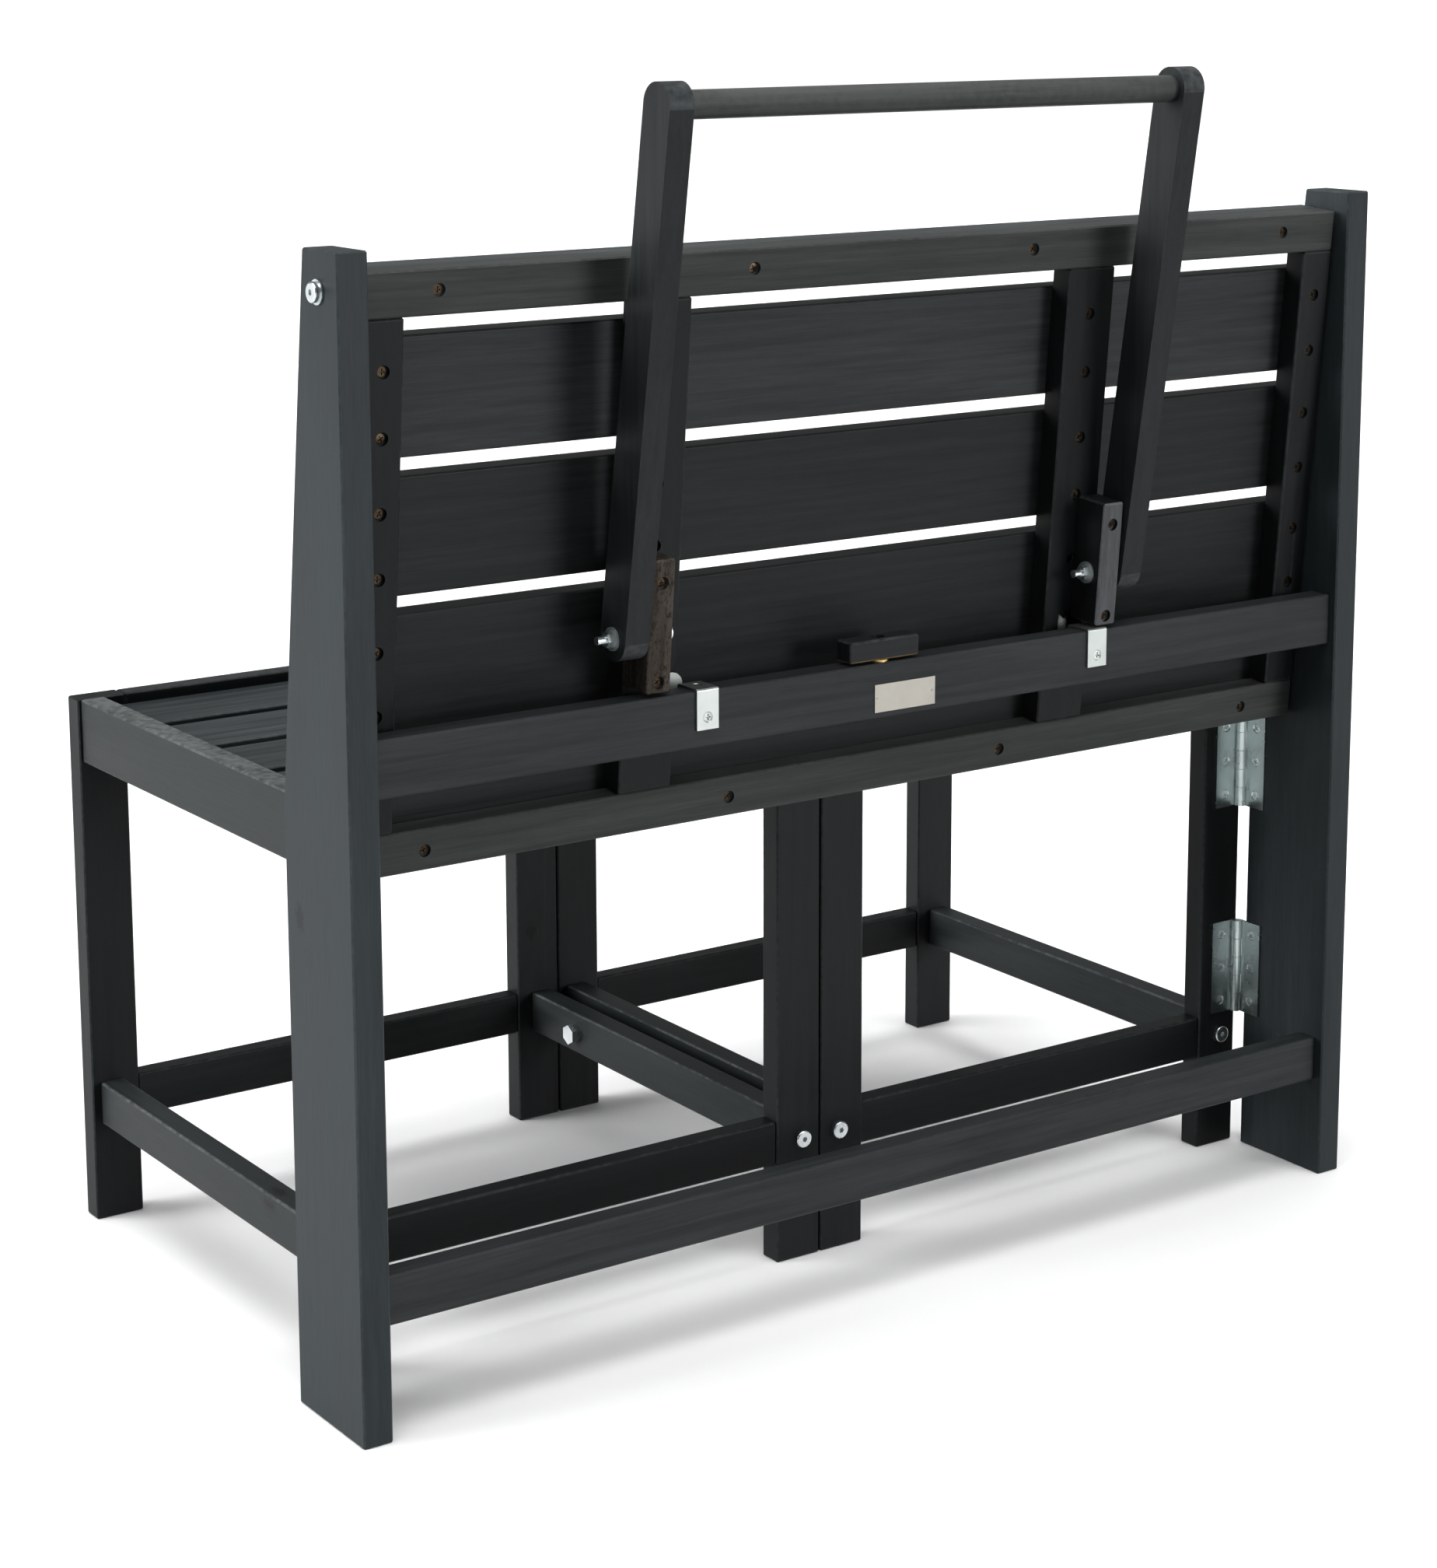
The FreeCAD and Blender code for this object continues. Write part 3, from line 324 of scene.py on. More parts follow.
@dataclass(frozen=True)
class WoodFinish:
    """A board's colour and feel, from its broad clouds to its fine pores."""

    name: str
    slot: str
    deep: Colour
    pale: Colour
    # The lighter colour of eased edges and lit top faces, and how much of it shows: partly rubbed-off stain,
    # partly painted highlight on the edges and painted top light on the tops
    rubbed_and_lit: Colour
    rubbed_and_lit_share: float = 0.55
    board_tone: float = 0.12
    cloud_tone: tuple[float, float] = (0.76, 1.27)
    pore_tone: tuple[float, float] = (0.87, 1.12)
    smooth: float = 0.36
    rough: float = 0.55
    gloss: float = 0.1
    clouds: float = 19.0
    cloud_squeeze: float = 0.22
    streaks: float = 165.0
    streak_squeeze: float = 0.035
    pores: float = 1150.0
    pore_depth: float = 0.12 * MM
    streak_depth: float = 0.3 * MM
    end_specks: float = 900.0
    rub_breaks: float = 170.0
    pits: float = 0.0
    pit_grain: float = 420.0
    pit_squeeze: tuple[float, float, float] = (1.0, 1.0, 0.55)
    pit_depth: float = 0.9 * MM
    knots: Knots = Knots()

    def toned(self, name: str, strength: float) -> "WoodFinish":
        """The same finish made lighter or darker: on some boards their own tone, on the table slats painted
        shade that deepens towards the bottom.

        Args:
            name: the finish's name on that board.
            strength: how bright it is beside this one.

        Returns:
            The board's finish.
        """
        colours = (self.deep, self.pale, self.rubbed_and_lit)
        deep, pale, rubbed_and_lit = (tuple(part * strength for part in colour) for colour in colours)
        return replace(self, name=name, deep=deep, pale=pale, rubbed_and_lit=rubbed_and_lit)

    def material(self, grain: Grain) -> bpy.types.Material:
        """Make the material for boards with one direction of fibres.

        Args:
            grain: the way the fibres run.

        Returns:
            The material, made once for each direction.
        """
        title = f"{self.name}_{grain.name.lower()}"
        if title in bpy.data.materials:
            return bpy.data.materials[title]
        shading = Shading(title)
        board = shading.mark("board")
        knot, swirl = self.knotty(shading, grain, board)
        fibres = shading.place(grain.spread(self.streak_squeeze), board)
        bent = shading.add("VectorMath", operation="MULTIPLY_ADD")
        for place, value in enumerate((swirl, (self.knots.swing,) * 3, fibres)):
            shading.feed(bent.inputs[place], value)
        streak = shading.noise(bent.outputs["Vector"], self.streaks, 4.0, 0.4)
        pore = shading.noise(fibres, self.pores, 2.0)
        cloud = shading.noise(shading.place(grain.spread(self.cloud_squeeze), board), self.clouds, 3.0, 0.8)
        colour = self.stain(shading, board, streak, pore, cloud)
        heart = tuple(part * self.knots.dark for part in self.deep)
        colour = shading.blend(shading.maths("MULTIPLY", knot, self.knots.share), colour, heart)
        colour = self.bare_ends(shading, colour)
        # Lighter eased edges and lit tops: partly rubbed stain, partly painted highlight and painted top
        # light
        colour = self.rubbed_and_lit_edges(shading, colour, cloud)
        broad, fine = shading.maths("MULTIPLY", cloud, 0.6), shading.maths("MULTIPLY", streak, 0.4)
        uneven = shading.maths("ADD", broad, fine)
        roughness = shading.between(uneven, 0.3, 0.7, self.smooth, self.rough)
        normal = shading.relief(pore, self.pore_depth, 0.35)
        normal = shading.relief(streak, self.streak_depth, 0.3, normal)
        if self.pits:
            colour, normal = self.pitted(shading, colour, normal)
        shading.surface.inputs["Specular IOR Level"].default_value = self.gloss
        return shading.wear(colour, roughness, normal)

    def knotty(self, shading: Shading, grain: Grain, board: Socket) -> tuple[Socket, Socket]:
        """A few small knots, and the fibres that swing round them.

        Args:
            shading: the material being made.
            grain: the way the fibres run.
            board: the board's own number.

        Returns:
            Where the knots are, and how far the fibres swing, both between 0 and 1.
        """
        knots = self.knots
        cells = shading.add("TexVoronoi", voronoi_dimensions="2D")
        shading.feed(cells.inputs["Vector"], shading.unroll(grain, knots.squeeze, board))
        shading.feed(cells.inputs["Scale"], knots.cells)
        rim = shading.noise(shading.place(EVENLY), knots.ragged_grain)
        rim = shading.between(rim, 0.3, 0.7, -knots.ragged, knots.ragged)
        distance = shading.maths("ADD", cells.outputs["Distance"], rim)
        chosen = shading.add("SeparateColor")
        shading.feed(chosen.inputs["Color"], cells.outputs["Color"])
        here = shading.between(chosen.outputs["Red"], knots.empty_cells, knots.empty_cells + 0.02, 0.0, 1.0)
        knot = shading.maths("MULTIPLY", shading.between(distance, *knots.heart, 1.0, 0.0), here)
        swirl = shading.maths("MULTIPLY", shading.between(distance, *knots.reach, 1.0, 0.0), here)
        return knot, swirl

    def stain(self, shading: Shading, board: Socket, streak: Socket, pore: Socket, cloud: Socket) -> Socket:
        """Streaky stain with each board a little lighter or darker.

        Args:
            shading: the material being made.
            board: the board's own number.
            streak: long streaks.
            pore: fine fibres.
            cloud: broad clouds.

        Returns:
            The colour.
        """
        colour = shading.blend(shading.between(streak, 0.32, 0.7, 0.0, 1.0), self.deep, self.pale)
        tone = shading.between(board, 0.0, 1.0, 1.0 - self.board_tone, 1.0 + self.board_tone)
        tone = shading.maths("MULTIPLY", tone, shading.between(cloud, 0.25, 0.75, *self.cloud_tone))
        tone = shading.maths("MULTIPLY", tone, shading.between(pore, 0.3, 0.7, *self.pore_tone))
        grey = shading.add("CombineColor")
        for channel in range(3):
            shading.feed(grey.inputs[channel], tone)
        return shading.blend(1.0, colour, grey.outputs["Color"], "MULTIPLY")

    def bare_ends(self, shading: Shading, colour: Socket) -> Socket:
        """Sawn ends drink the stain in dark, round specks.

        Args:
            shading: the material being made.
            colour: the colour so far.

        Returns:
            The colour with its ends.
        """
        specks = shading.noise(shading.place(EVENLY), self.end_specks, 2.0)
        soaked = shading.between(specks, 0.35, 0.65, 0.35, 0.7)
        ends = shading.maths("MULTIPLY", shading.mark("sawn_end"), soaked)
        return shading.blend(ends, colour, self.deep)

    def rubbed_and_lit_edges(self, shading: Shading, colour: Socket, cloud: Socket) -> Socket:
        """Lighten the eased edges and the faces marked as lit tops: partly stain that handling took off,
        partly painted highlight on the edges and painted top light on the tops.

        Args:
            shading: the material being made.
            colour: the colour so far.
            cloud: broad clouds.

        Returns:
            The colour with its edges.
        """
        broken = shading.noise(shading.place(EVENLY), self.rub_breaks, 4.0)
        rub_and_light = shading.maths("ADD", cloud, broken)
        rub_and_light = shading.between(rub_and_light, 0.85, 1.2, 0.1, self.rubbed_and_lit_share)
        share = shading.maths("MULTIPLY", shading.mark("eased"), rub_and_light)
        return shading.blend(share, colour, self.rubbed_and_lit)

    def pitted(self, shading: Shading, colour: Socket, normal: Socket) -> tuple[Socket, Socket]:
        """Rough sawn wood, with torn pits.

        Args:
            shading: the material being made.
            colour: the colour so far.
            normal: the normal so far.

        Returns:
            The colour and the normal.
        """
        pits = shading.noise(shading.place(self.pit_squeeze), self.pit_grain, 4.0, 0.6)
        holes = shading.between(pits, 0.36, 0.5, 1.0, 0.0)
        colour = shading.blend(shading.maths("MULTIPLY", holes, self.pits), colour, self.deep)
        return colour, shading.relief(pits, self.pit_depth, 0.7, normal)


@dataclass(frozen=True)
class MetalFinish:
    """Plated or turned metal, with faint clouds and fine scratches."""

    name: str
    slot: str
    colour: Colour
    tint: Colour
    bright: float = 0.2
    dull: float = 0.42
    brushed: float = 0.0
    clouds: float = 45.0
    specks: float = 1400.0
    speck_depth: float = 0.012 * MM
    scratches: float = 1800.0
    scratch_squeeze: float = 0.02
    scratch_depth: float = 0.02 * MM

    def material(self, grain: Grain = Grain.UPRIGHT) -> bpy.types.Material:
        """Make the material.

        Args:
            grain: the way it is brushed, where it is.

        Returns:
            The material, made once for each direction.
        """
        title = f"{self.name}_{grain.name.lower()}"
        if title in bpy.data.materials:
            return bpy.data.materials[title]
        shading = Shading(title)
        even = shading.place(EVENLY)
        cloud = shading.noise(even, self.clouds, 2.0, 0.3)
        speck = shading.noise(even, self.specks, 2.0)
        colour = shading.blend(shading.between(cloud, 0.25, 0.75, 0.0, 1.0), self.colour, self.tint)
        colour = shading.blend(shading.between(speck, 0.25, 0.4, 0.25, 0.0), colour, self.tint)
        roughness = shading.between(cloud, 0.3, 0.7, self.bright, self.dull)
        normal = shading.relief(speck, self.speck_depth, 0.1)
        if self.brushed:
            lines = shading.noise(shading.place(grain.spread(self.scratch_squeeze)), self.scratches, 2.0)
            normal = shading.relief(lines, self.scratch_depth, self.brushed, normal)
        shading.surface.inputs["Metallic"].default_value = 1.0
        return shading.wear(colour, roughness, normal)


@dataclass(frozen=True)
class FloorFinish:
    """A plain pale floor."""

    colour: Colour = (0.86, 0.862, 0.865)
    marked: Colour = (0.84, 0.843, 0.848)
    roughness: float = 0.75
    gloss: float = 0.2
    clouds: float = 0.8

    def material(self) -> bpy.types.Material:
        """Make the floor's material."""
        shading = Shading("pale_floor")
        cloud = shading.noise(shading.place(EVENLY), self.clouds, 2.0)
        colour = shading.blend(shading.between(cloud, 0.3, 0.7, 0.0, 1.0), self.colour, self.marked)
        shading.surface.inputs["Specular IOR Level"].default_value = self.gloss
        shading.feed(shading.surface.inputs["Base Color"], colour)
        shading.feed(shading.surface.inputs["Roughness"], self.roughness)
        return shading.material


NO_KNOTS = Knots(share=0.0)
POST_STAIN = WoodFinish(
    name="post_stain", slot="stained_wood", board_tone=0.04,
    deep=(0.0193, 0.0244, 0.0267), pale=(0.0234, 0.0293, 0.0319), rubbed_and_lit=(0.055, 0.063, 0.065),
)
SEAT_STAIN = WoodFinish(
    name="seat_stain", slot="stained_wood", rubbed_and_lit_share=0.75,
    deep=(0.0172, 0.0205, 0.0218), pale=(0.0225, 0.0262, 0.0275), rubbed_and_lit=(0.105, 0.112, 0.113),
)
SLAT_STAIN = WoodFinish(
    name="seat_slat_stain", slot="stained_wood",
    deep=(0.0125, 0.0158, 0.0172), pale=(0.0335, 0.039, 0.041), rubbed_and_lit=(0.08, 0.087, 0.088),
)
LEG_STAIN = WoodFinish(
    name="leg_stain", slot="stained_wood",
    deep=(0.0055, 0.0064, 0.0068), pale=(0.008, 0.0091, 0.0097), rubbed_and_lit=(0.036, 0.04, 0.042),
)
PANEL_STAIN = WoodFinish(
    name="panel_stain", slot="stained_wood",
    deep=(0.0285, 0.031, 0.0308), pale=(0.048, 0.0515, 0.0508), rubbed_and_lit=(0.068, 0.071, 0.069),
)
BACK_STAIN = WoodFinish(
    name="back_stain", slot="stained_wood",
    deep=(0.0275, 0.0312, 0.0328), pale=(0.0475, 0.053, 0.0555), rubbed_and_lit=(0.062, 0.066, 0.067),
)
RAIL_STAIN = BACK_STAIN.toned("rail_stain", 0.52)
ARM_STAIN = LEG_STAIN.toned("arm_stain", 2.0)
BUTTON_STAIN = LEG_STAIN.toned("button_stain", 1.6)
# The right pivot block's outward face, painted far lighter than the leg stain on its other faces, as painted
# light
LIT_FACE_STAIN = WoodFinish(
    name="worn_stain", slot="worn_wood", rubbed_and_lit_share=0.7, board_tone=0.0, smooth=0.5, rough=0.75,
    deep=(0.048, 0.051, 0.054), pale=(0.082, 0.087, 0.091), rubbed_and_lit=(0.11, 0.113, 0.115), knots=NO_KNOTS,
)
RAW_WOOD = WoodFinish(
    name="raw_wood", slot="raw_wood", rubbed_and_lit_share=0.6, board_tone=0.0, smooth=0.65, rough=0.9, pits=0.85,
    deep=(0.013, 0.0106, 0.0085), pale=(0.058, 0.049, 0.0405), rubbed_and_lit=(0.078, 0.066, 0.054), knots=NO_KNOTS,
)
GOLDEN_WOOD = WoodFinish(
    name="golden_wood", slot="stained_wood",
    deep=(0.05, 0.034, 0.016), pale=(0.26, 0.17, 0.08), rubbed_and_lit=(0.3, 0.2, 0.1), knots=NO_KNOTS,
)
ZINC = MetalFinish("zinc", "zinc", (0.60, 0.63, 0.64), (0.50, 0.545, 0.55), 0.22, 0.32)
BRIGHT_ZINC = MetalFinish("bright_zinc", "zinc", (0.36, 0.382, 0.37), (0.30, 0.32, 0.31), 0.34, 0.42)
HINGE_ZINC = MetalFinish("hinge_zinc", "zinc", (0.40, 0.45, 0.445), (0.33, 0.375, 0.372), 0.22, 0.3, 0.3)
# Brass darkened far below its own colour, as painted shade of the holes that the screws sit in
SHADED_BRASS = MetalFinish("brass", "brass", (0.05, 0.035, 0.022), (0.022, 0.016, 0.011), 0.32, 0.52)
DULL_ZINC = MetalFinish("dull_zinc", "zinc", (0.40, 0.43, 0.43), (0.32, 0.35, 0.35), 0.4, 0.55)
GILT = MetalFinish("gilt", "brass", (0.55, 0.38, 0.16), (0.4, 0.26, 0.1), 0.25, 0.4)
NICKEL = MetalFinish("nickel", "nickel", (0.26, 0.25, 0.222), (0.22, 0.21, 0.19), 0.32, 0.45, 0.5)


def work_on(piece: bpy.types.Object) -> None:
    """Select one piece alone, and make it the active one.

    Args:
        piece: the piece.
    """
    bpy.ops.object.select_all(action="DESELECT")
    piece.select_set(True)
    bpy.context.view_layer.objects.active = piece


def loose_parts(mesh: bpy.types.Mesh) -> list[int]:
    """Number the separate solids of a mesh.

    Args:
        mesh: the mesh.

    Returns:
        For each vertex, the number of the solid that it belongs to.
    """
    parent = list(range(len(mesh.vertices)))

    def root(index: int) -> int:
        """The first vertex that this one hangs on."""
        while parent[index] != index:
            parent[index] = parent[parent[index]]
            index = parent[index]
        return index

    for edge in mesh.edges:
        first, second = (root(v) for v in edge.vertices)
        parent[max(first, second)] = min(first, second)
    return [root(index) for index in range(len(parent))]


@dataclass
class Assembly:
    """A group of pieces that are made and dressed together."""

    body: str
    seam: float = 0.01 * MM
    ease_width: float = 0.45 * MM
    ease_segments: int = 2
    shortest_edge: float = 7.0 * MM
    sharp: float = math.radians(28)
    smooth: float = math.radians(38)
    flat: float = math.radians(0.4)
    thin_strip: float = 2.4 * MM
    looks_up: float = 0.9
    looks_along: float = 0.8
    groove: float = 0.5 * MM
    rim: float = 0.95

    def copy_of(self, node: str) -> bpy.types.Object:
        """Take a working copy of a solid of the frame, with its triangles merged into faces.

        Args:
            node: the solid's name.

        Returns:
            The copy.
        """
        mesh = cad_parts[node].data.copy()
        mesh.materials.clear()
        piece = bpy.data.objects.new(node + "_dressed", mesh)
        bpy.context.scene.collection.objects.link(piece)
        work_on(piece)
        bpy.ops.mesh.customdata_custom_splitnormals_clear()
        bpy.ops.object.mode_set(mode="EDIT")
        bpy.ops.mesh.select_all(action="SELECT")
        bpy.ops.mesh.remove_doubles(threshold=self.seam)
        bpy.ops.mesh.mark_sharp(clear=True)
        bpy.ops.mesh.dissolve_limited(angle_limit=self.flat)
        bpy.ops.object.mode_set(mode="OBJECT")
        return piece

    def ease(self, piece: bpy.types.Object, width: float) -> None:
        """Round the long, sharp edges of a piece.

        Args:
            piece: the piece.
            width: how far the rounding reaches from the edge.
        """
        work_on(piece)
        bpy.context.scene.tool_settings.mesh_select_mode = (False, True, False)
        bpy.ops.object.mode_set(mode="EDIT")
        bpy.ops.mesh.select_all(action="DESELECT")
        bpy.ops.mesh.edges_select_sharp(sharpness=self.sharp)
        bpy.ops.object.mode_set(mode="OBJECT")
        mesh = piece.data
        for edge in mesh.edges:
            if edge.select:
                ends = [mesh.vertices[v].co for v in edge.vertices]
                edge.select = (ends[1] - ends[0]).length > self.shortest_edge
        bpy.ops.object.mode_set(mode="EDIT")
        bpy.ops.mesh.bevel(offset=width, segments=self.ease_segments, affect="EDGES", clamp_overlap=True)
        bpy.ops.object.mode_set(mode="OBJECT")

    def smooth_over(self, piece: bpy.types.Object) -> None:
        """Shade round faces as round and flat ones as flat.

        Args:
            piece: the piece.
        """
        work_on(piece)
        bpy.ops.object.shade_smooth_by_angle(angle=self.smooth)
        even = piece.modifiers.new("even", "WEIGHTED_NORMAL")
        even.keep_sharp = True
        bpy.ops.object.modifier_apply(modifier=even.name)

    def set_heads_in(self, piece: bpy.types.Object) -> None:
        """Draw the rim of each screw's head in, so that a fine groove shows round it.

        Args:
            piece: the screws.
        """
        mesh = piece.data
        solids = loose_parts(mesh)
        for solid in set(solids):
            faces = [face for face in mesh.polygons if solids[face.vertices[0]] == solid]
            outward = max(faces, key=lambda face: face.area).normal.copy()
            ends = [v for place, v in enumerate(mesh.vertices) if solids[place] == solid]
            top = max(v.co.dot(outward) for v in ends)
            head = [v for v in ends if top - v.co.dot(outward) < self.seam * 2]
            middle = sum((v.co for v in head), Vector()) / len(head)
            reach = max((v.co - middle).length for v in head)
            for vertex in head:
                spoke = vertex.co - middle
                if spoke.length > reach * self.rim:
                    vertex.co -= spoke.normalized() * self.groove + outward * self.groove

    def number_boards(self, piece: bpy.types.Object, grain: Grain, worn_top: bool = False) -> None:
        """Note on each face its board's number, whether it is an eased edge or a top face to be painted
        lighter as painted top light, and whether it is a sawn end.

        Args:
            piece: the piece.
            grain: the way its fibres run.
            worn_top: whether its top face is painted lighter like its edges, as painted top light.
        """
        mesh = piece.data
        solids = loose_parts(mesh)
        order = {solid: place for place, solid in enumerate(sorted(set(solids)))}
        start = sum(map(ord, piece.name)) * NAME_STEP
        boards, eased, ends = [], [], []
        for face in mesh.polygons:
            boards.append((start + order[solids[face.vertices[0]]] * BOARD_STEP) % 1.0)
            corners = [mesh.vertices[v].co for v in face.vertices]
            longest = max((a - b).length for a, b in zip(corners, corners[1:] + corners[:1]))
            strip = face.area / longest < self.thin_strip and longest > self.shortest_edge
            # Eased strips are marked, and upward faces too when asked for, so that they get painted top
            # light
            eased.append(float(strip or (worn_top and face.normal.z > self.looks_up)))
            ends.append(float(abs(face.normal.dot(grain.unit())) > self.looks_along and not strip))
        for name, values in (("board", boards), ("eased", eased), ("sawn_end", ends)):
            mesh.attributes.new(name, "FLOAT", "FACE").data.foreach_set("value", values)

    def stand_for(self, piece: bpy.types.Object, node: str) -> bpy.types.Object:
        """Put a finished piece in the place of a solid of the frame.

        Args:
            piece: the finished piece.
            node: the solid it stands for.

        Returns:
            The piece.
        """
        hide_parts(node)
        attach(piece, self.body)
        LOG.info("%s rides on %s, %d faces", piece.name, self.body, len(piece.data.polygons))
        return piece

    def wooden(
        self, node: str, finish: WoodFinish, grain: Grain, eased: bool = True, worn_top: bool = False
    ) -> bpy.types.Object:
        """Dress a solid of the frame as stained boards.

        Args:
            node: the solid's name.
            finish: the wood's finish.
            grain: the way its fibres run.
            eased: whether its edges are rounded further.
            worn_top: whether its top face is painted lighter like its edges, as painted top light.

        Returns:
            The dressed boards.
        """
        piece = self.copy_of(node)
        if eased:
            self.ease(piece, self.ease_width)
        self.smooth_over(piece)
        self.number_boards(piece, grain, worn_top)
        piece.data.materials.append(finish.material(grain))
        return self.stand_for(piece, node)

    def metal(self, node: str, finish: MetalFinish, grain: Grain = Grain.UPRIGHT) -> bpy.types.Object:
        """Dress a solid of the frame as metal.

        Args:
            node: the solid's name.
            finish: the metal's finish.
            grain: the way it is brushed, where it is.

        Returns:
            The dressed metal.
        """
        piece = self.copy_of(node)
        if node.endswith("_screws"):
            self.set_heads_in(piece)
        self.smooth_over(piece)
        piece.data.materials.append(finish.material(grain))
        return self.stand_for(piece, node)

    def fit(self, fittings: dict[str, MetalFinish]) -> None:
        """Dress the metal fittings of the group.

        Args:
            fittings: the finish of each solid, by name.
        """
        for node, finish in fittings.items():
            self.metal(node, finish)


@dataclass
class BackFrame(Assembly):
    """The two posts and the rails between them, with what is fixed to them."""

    body: str = "frame"
    upright: tuple[str, ...] = ("post_left", "post_right")
    crossing: tuple[str, ...] = ("mid_rail", "bottom_rail")
    post_ease: float = 0.8 * MM
    post_ease_segments: int = 3
    fittings: dict[str, MetalFinish] = field(
        default_factory=lambda: {
            "support_hooks": BRIGHT_ZINC,
            "hook_screws": BRIGHT_ZINC,
            "post_hinge_leaves": HINGE_ZINC,
            "post_hinge_screws": ZINC,
            "hinge_pins": ZINC,
            "plate_pins": NICKEL,
            "turn_button_washer": GILT,
            "turn_button_screw": SHADED_BRASS,
        }
    )

    def build(self) -> None:
        """Make every piece of the back frame."""
        posts = replace(self, ease_width=self.post_ease, ease_segments=self.post_ease_segments)
        for node in self.upright:
            posts.wooden(node, POST_STAIN, Grain.UPRIGHT)
        for node in self.crossing:
            self.wooden(node, RAIL_STAIN, Grain.ACROSS)
        self.wooden("rail_dowels", RAW_WOOD, Grain.ACROSS, eased=False)
        self.metal("blank_plate", NICKEL, Grain.ACROSS)
        self.fit(self.fittings)


@dataclass
class TurnButton(Assembly):
    """The wooden button on the mid rail that keeps the table top shut."""

    body: str = "turn_button"
    ease_width: float = 2.2 * MM
    ease_segments: int = 4
    underside: float = -0.35

    def build(self) -> None:
        """Make the button, with bare golden wood underneath."""
        button = self.wooden("turn_button", BUTTON_STAIN, Grain.ACROSS)
        button.data.materials.append(GOLDEN_WOOD.material(Grain.ACROSS))
        for face in button.data.polygons:
            face.material_index = int(face.normal.z < self.underside)


@dataclass
class TableTop(Assembly):
    """The slatted panel that is the bench's back, and the table's top when it lies flat."""

    body: str = "table_top"
    # Each table slat's brightness, darker towards the bottom as painted shade under the mid rail
    slat_tones: tuple[float, ...] = (0.92, 0.72, 0.32, 0.28, 0.28)
    looks_out: float = 0.6
    fittings: dict[str, MetalFinish] = field(
        default_factory=lambda: {
            "slat_screws": SHADED_BRASS,
            "rail_screws": SHADED_BRASS,
            "block_screws": SHADED_BRASS,
            "table_pivot_bolts": ZINC,
            "table_pivot_washers": ZINC,
        }
    )

    def build(self) -> None:
        """Make every piece of the table top."""
        for node in ("table_top_rail", "table_bottom_rail"):
            self.wooden(node, PANEL_STAIN, Grain.ACROSS)
        # The slats' finish is darkened step by step downwards, as painted shade
        for place, tone in enumerate(self.slat_tones, start=1):
            node = f"table_slat_{place}"
            self.wooden(node, BACK_STAIN.toned(f"{node}_stain", tone), Grain.ACROSS)
        for node in ("table_end_battens", "table_batten_left", "table_batten_right"):
            self.wooden(node, LEG_STAIN, Grain.UPRIGHT)
        self.wooden("pivot_block_left", RAW_WOOD, Grain.UPRIGHT)
        self.worn_block()
        self.fit(self.fittings)

    def worn_block(self) -> None:
        """The right pivot block, in the dark leg stain, with the face that looks out painted lighter as
        painted light.
        """
        block = self.wooden("pivot_block_right", LIT_FACE_STAIN, Grain.UPRIGHT)
        block.data.materials.append(LEG_STAIN.material(Grain.UPRIGHT))
        # The face that looks out takes the lighter finish as painted light; the other faces keep the leg
        # stain
        for face in block.data.polygons:
            face.material_index = 0 if face.normal.y > self.looks_out else 1


@dataclass
class SupportLeg(Assembly):
    """The two arms and the bar that hold the table top up when it lies flat."""

    body: str = "support_leg"
    fittings: dict[str, MetalFinish] = field(
        default_factory=lambda: {
            "support_bolts": ZINC,
            "support_nuts": ZINC,
            "support_washers": DULL_ZINC,
        }
    )

    def build(self) -> None:
        """Make the arms, the bar and the bolts that carry them."""
        for node in ("support_arm_left", "support_arm_right"):
            self.wooden(node, ARM_STAIN, Grain.UPRIGHT)
        self.wooden("support_bar", PANEL_STAIN, Grain.ACROSS, eased=False)
        self.fit(self.fittings)


@dataclass
class SeatUnit(Assembly):
    """A seat on four legs that swings on its hinges."""

    body: str = "seat_left"
    side: Side = Side.LEFT
    boards: dict[str, tuple[WoodFinish, Grain]] = field(
        default_factory=lambda: {
            "legs": (LEG_STAIN, Grain.UPRIGHT),
            "cross_aprons": (LEG_STAIN, Grain.ACROSS),
            "side_aprons": (SEAT_STAIN, Grain.ALONG),
            "cross_stretchers": (LEG_STAIN, Grain.ACROSS),
            "side_stretchers": (SEAT_STAIN, Grain.ALONG),
            "slats": (SLAT_STAIN, Grain.ACROSS),
            "slat_cleats": (LEG_STAIN, Grain.ALONG),
        }
    )
    fittings: dict[str, MetalFinish] = field(
        default_factory=lambda: {
            "bolts": ZINC,
            "bolt_nuts": ZINC,
            "hinge_leaves": HINGE_ZINC,
            "hinge_screws": ZINC,
        }
    )

    def build(self) -> None:
        """Make every piece of the seat."""
        start = f"seat_{self.side.value}_"
        for name, (finish, grain) in self.boards.items():
            # Apron tops are painted lighter, as painted top light
            self.wooden(start + name, finish, grain, worn_top=name.endswith("aprons"))
        self.fit({start + name: finish for name, finish in self.fittings.items()})


class Lamp(Enum):
    """The three soft lamps: where each shines from, how wide it looks and how strong it is."""

    KEY = ((-1.7, 3.8, 1.0), 20.0, 1.85)
    SIDE = ((3.6, -1.5, 1.5), 40.0, 3.9)
    TOP = ((0.3, 0.4, 4.2), 60.0, 3.8)


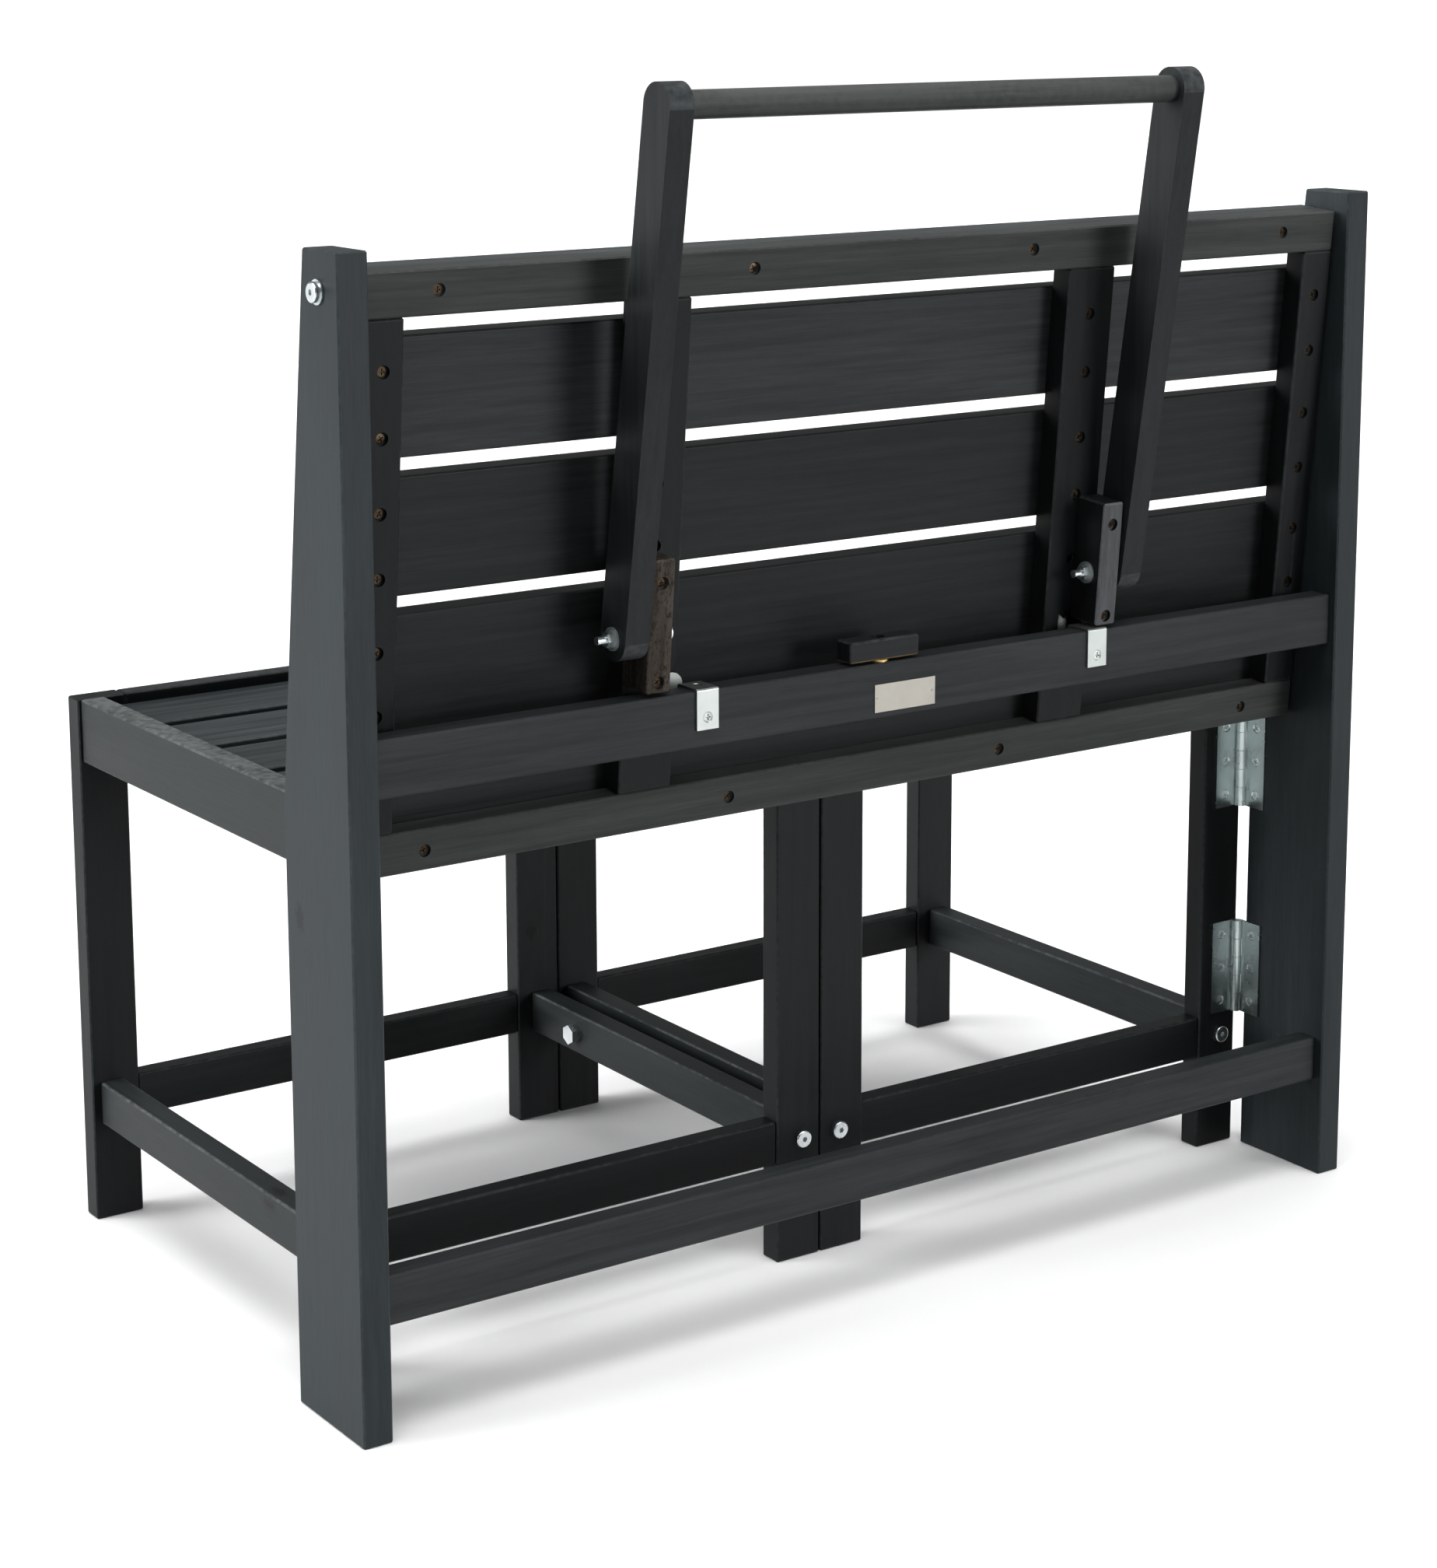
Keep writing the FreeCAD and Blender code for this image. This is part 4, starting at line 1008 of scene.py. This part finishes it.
@dataclass
class Studio:
    """The floor, the light and the camera."""

    camera_place: tuple[float, float, float] = (1.4526, 2.09895, 1.00621)
    camera_turn: tuple[float, float, float] = (79.756, 0.166, 145.456)
    lens: float = 75.39
    shift: float = -0.15
    sensor: float = 36.0
    floor_size: float = 24.0
    backdrop_facets: int = 48
    backdrop_glow: float = 1.1
    daylight: float = 0.3
    lamps_aim: tuple[float, float, float] = (0.0, 0.0, 0.45)

    def build(self) -> None:
        """Set up the studio."""
        self.lay_floor()
        self.hang_backdrop()
        self.fill_light()
        for lamp in Lamp:
            self.hang(lamp)
        self.set_camera()

    def lay_floor(self) -> None:
        """A wide floor at the height of the bench's feet."""
        bpy.ops.object.select_all(action="DESELECT")
        bpy.ops.mesh.primitive_plane_add(size=self.floor_size, location=(0, 0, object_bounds()[0][2]))
        floor = bpy.context.object
        floor.name = "studio_floor"
        floor.data.materials.append(FloorFinish().material())
        floor.visible_diffuse = False
        floor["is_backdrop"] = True

    def hang_backdrop(self) -> None:
        """A white backdrop all around, which shines no light on the bench."""
        bpy.ops.object.select_all(action="DESELECT")
        bpy.ops.mesh.primitive_uv_sphere_add(
            radius=self.floor_size, segments=self.backdrop_facets, ring_count=self.backdrop_facets // 2
        )
        backdrop = bpy.context.object
        backdrop.name = "studio_backdrop"
        shading = Shading("white_backdrop")
        shading.surface.inputs["Base Color"].default_value = (0.0, 0.0, 0.0, 1.0)
        shading.surface.inputs["Specular IOR Level"].default_value = 0.0
        shading.surface.inputs["Emission Color"].default_value = (1.0, 1.0, 1.0, 1.0)
        shading.surface.inputs["Emission Strength"].default_value = self.backdrop_glow
        backdrop.data.materials.append(shading.material)
        for sight in ("visible_diffuse", "visible_glossy", "visible_transmission", "visible_shadow"):
            setattr(backdrop, sight, False)
        backdrop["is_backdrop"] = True

    def fill_light(self) -> None:
        """Even light from all around."""
        world = bpy.data.worlds.new("studio")
        world.use_nodes = True
        sky = world.node_tree.nodes["Background"]
        sky.inputs["Color"].default_value = (1.0, 1.0, 1.0, 1.0)
        sky.inputs["Strength"].default_value = self.daylight
        bpy.context.scene.world = world

    def hang(self, lamp: Lamp) -> None:
        """A wide, even lamp that shines on the middle of the bench.

        Args:
            lamp: which lamp.
        """
        place, width, strength = lamp.value
        light = bpy.data.lights.new("lamp_" + lamp.name.lower(), "SUN")
        light.angle = math.radians(width)
        light.energy = strength
        stand = bpy.data.objects.new(light.name, light)
        stand.location = place
        aim = Vector(self.lamps_aim) - Vector(place)
        stand.rotation_euler = aim.to_track_quat("-Z", "Y").to_euler()
        bpy.context.scene.collection.objects.link(stand)

    def set_camera(self) -> None:
        """The camera, where the photograph was taken from."""
        lens = bpy.data.cameras.new("camera")
        lens.lens = self.lens
        lens.sensor_width = self.sensor
        lens.shift_y = self.shift
        camera = bpy.data.objects.new("camera", lens)
        camera.location = self.camera_place
        camera.rotation_euler = Euler([math.radians(angle) for angle in self.camera_turn])
        bpy.context.scene.collection.objects.link(camera)
        bpy.context.scene.camera = camera


def corners(box: object) -> list[list[float]]:
    """A box's two corners as plain lists of numbers."""
    return [[float(value) for value in corner] for corner in box]


def main() -> None:
    """Build the bench and its studio."""
    logging.basicConfig(level=logging.INFO, format="%(message)s")
    bpy.context.scene.view_settings.view_transform = "Standard"
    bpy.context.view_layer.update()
    for group in (
        BackFrame(),
        TurnButton(),
        TableTop(),
        SupportLeg(),
        SeatUnit("seat_left", side=Side.LEFT),
        SeatUnit("seat_right", side=Side.RIGHT),
    ):
        LOG.info("making %s", type(group).__name__)
        group.build()
    Studio().build()


if __name__ == "__main__":
    main()
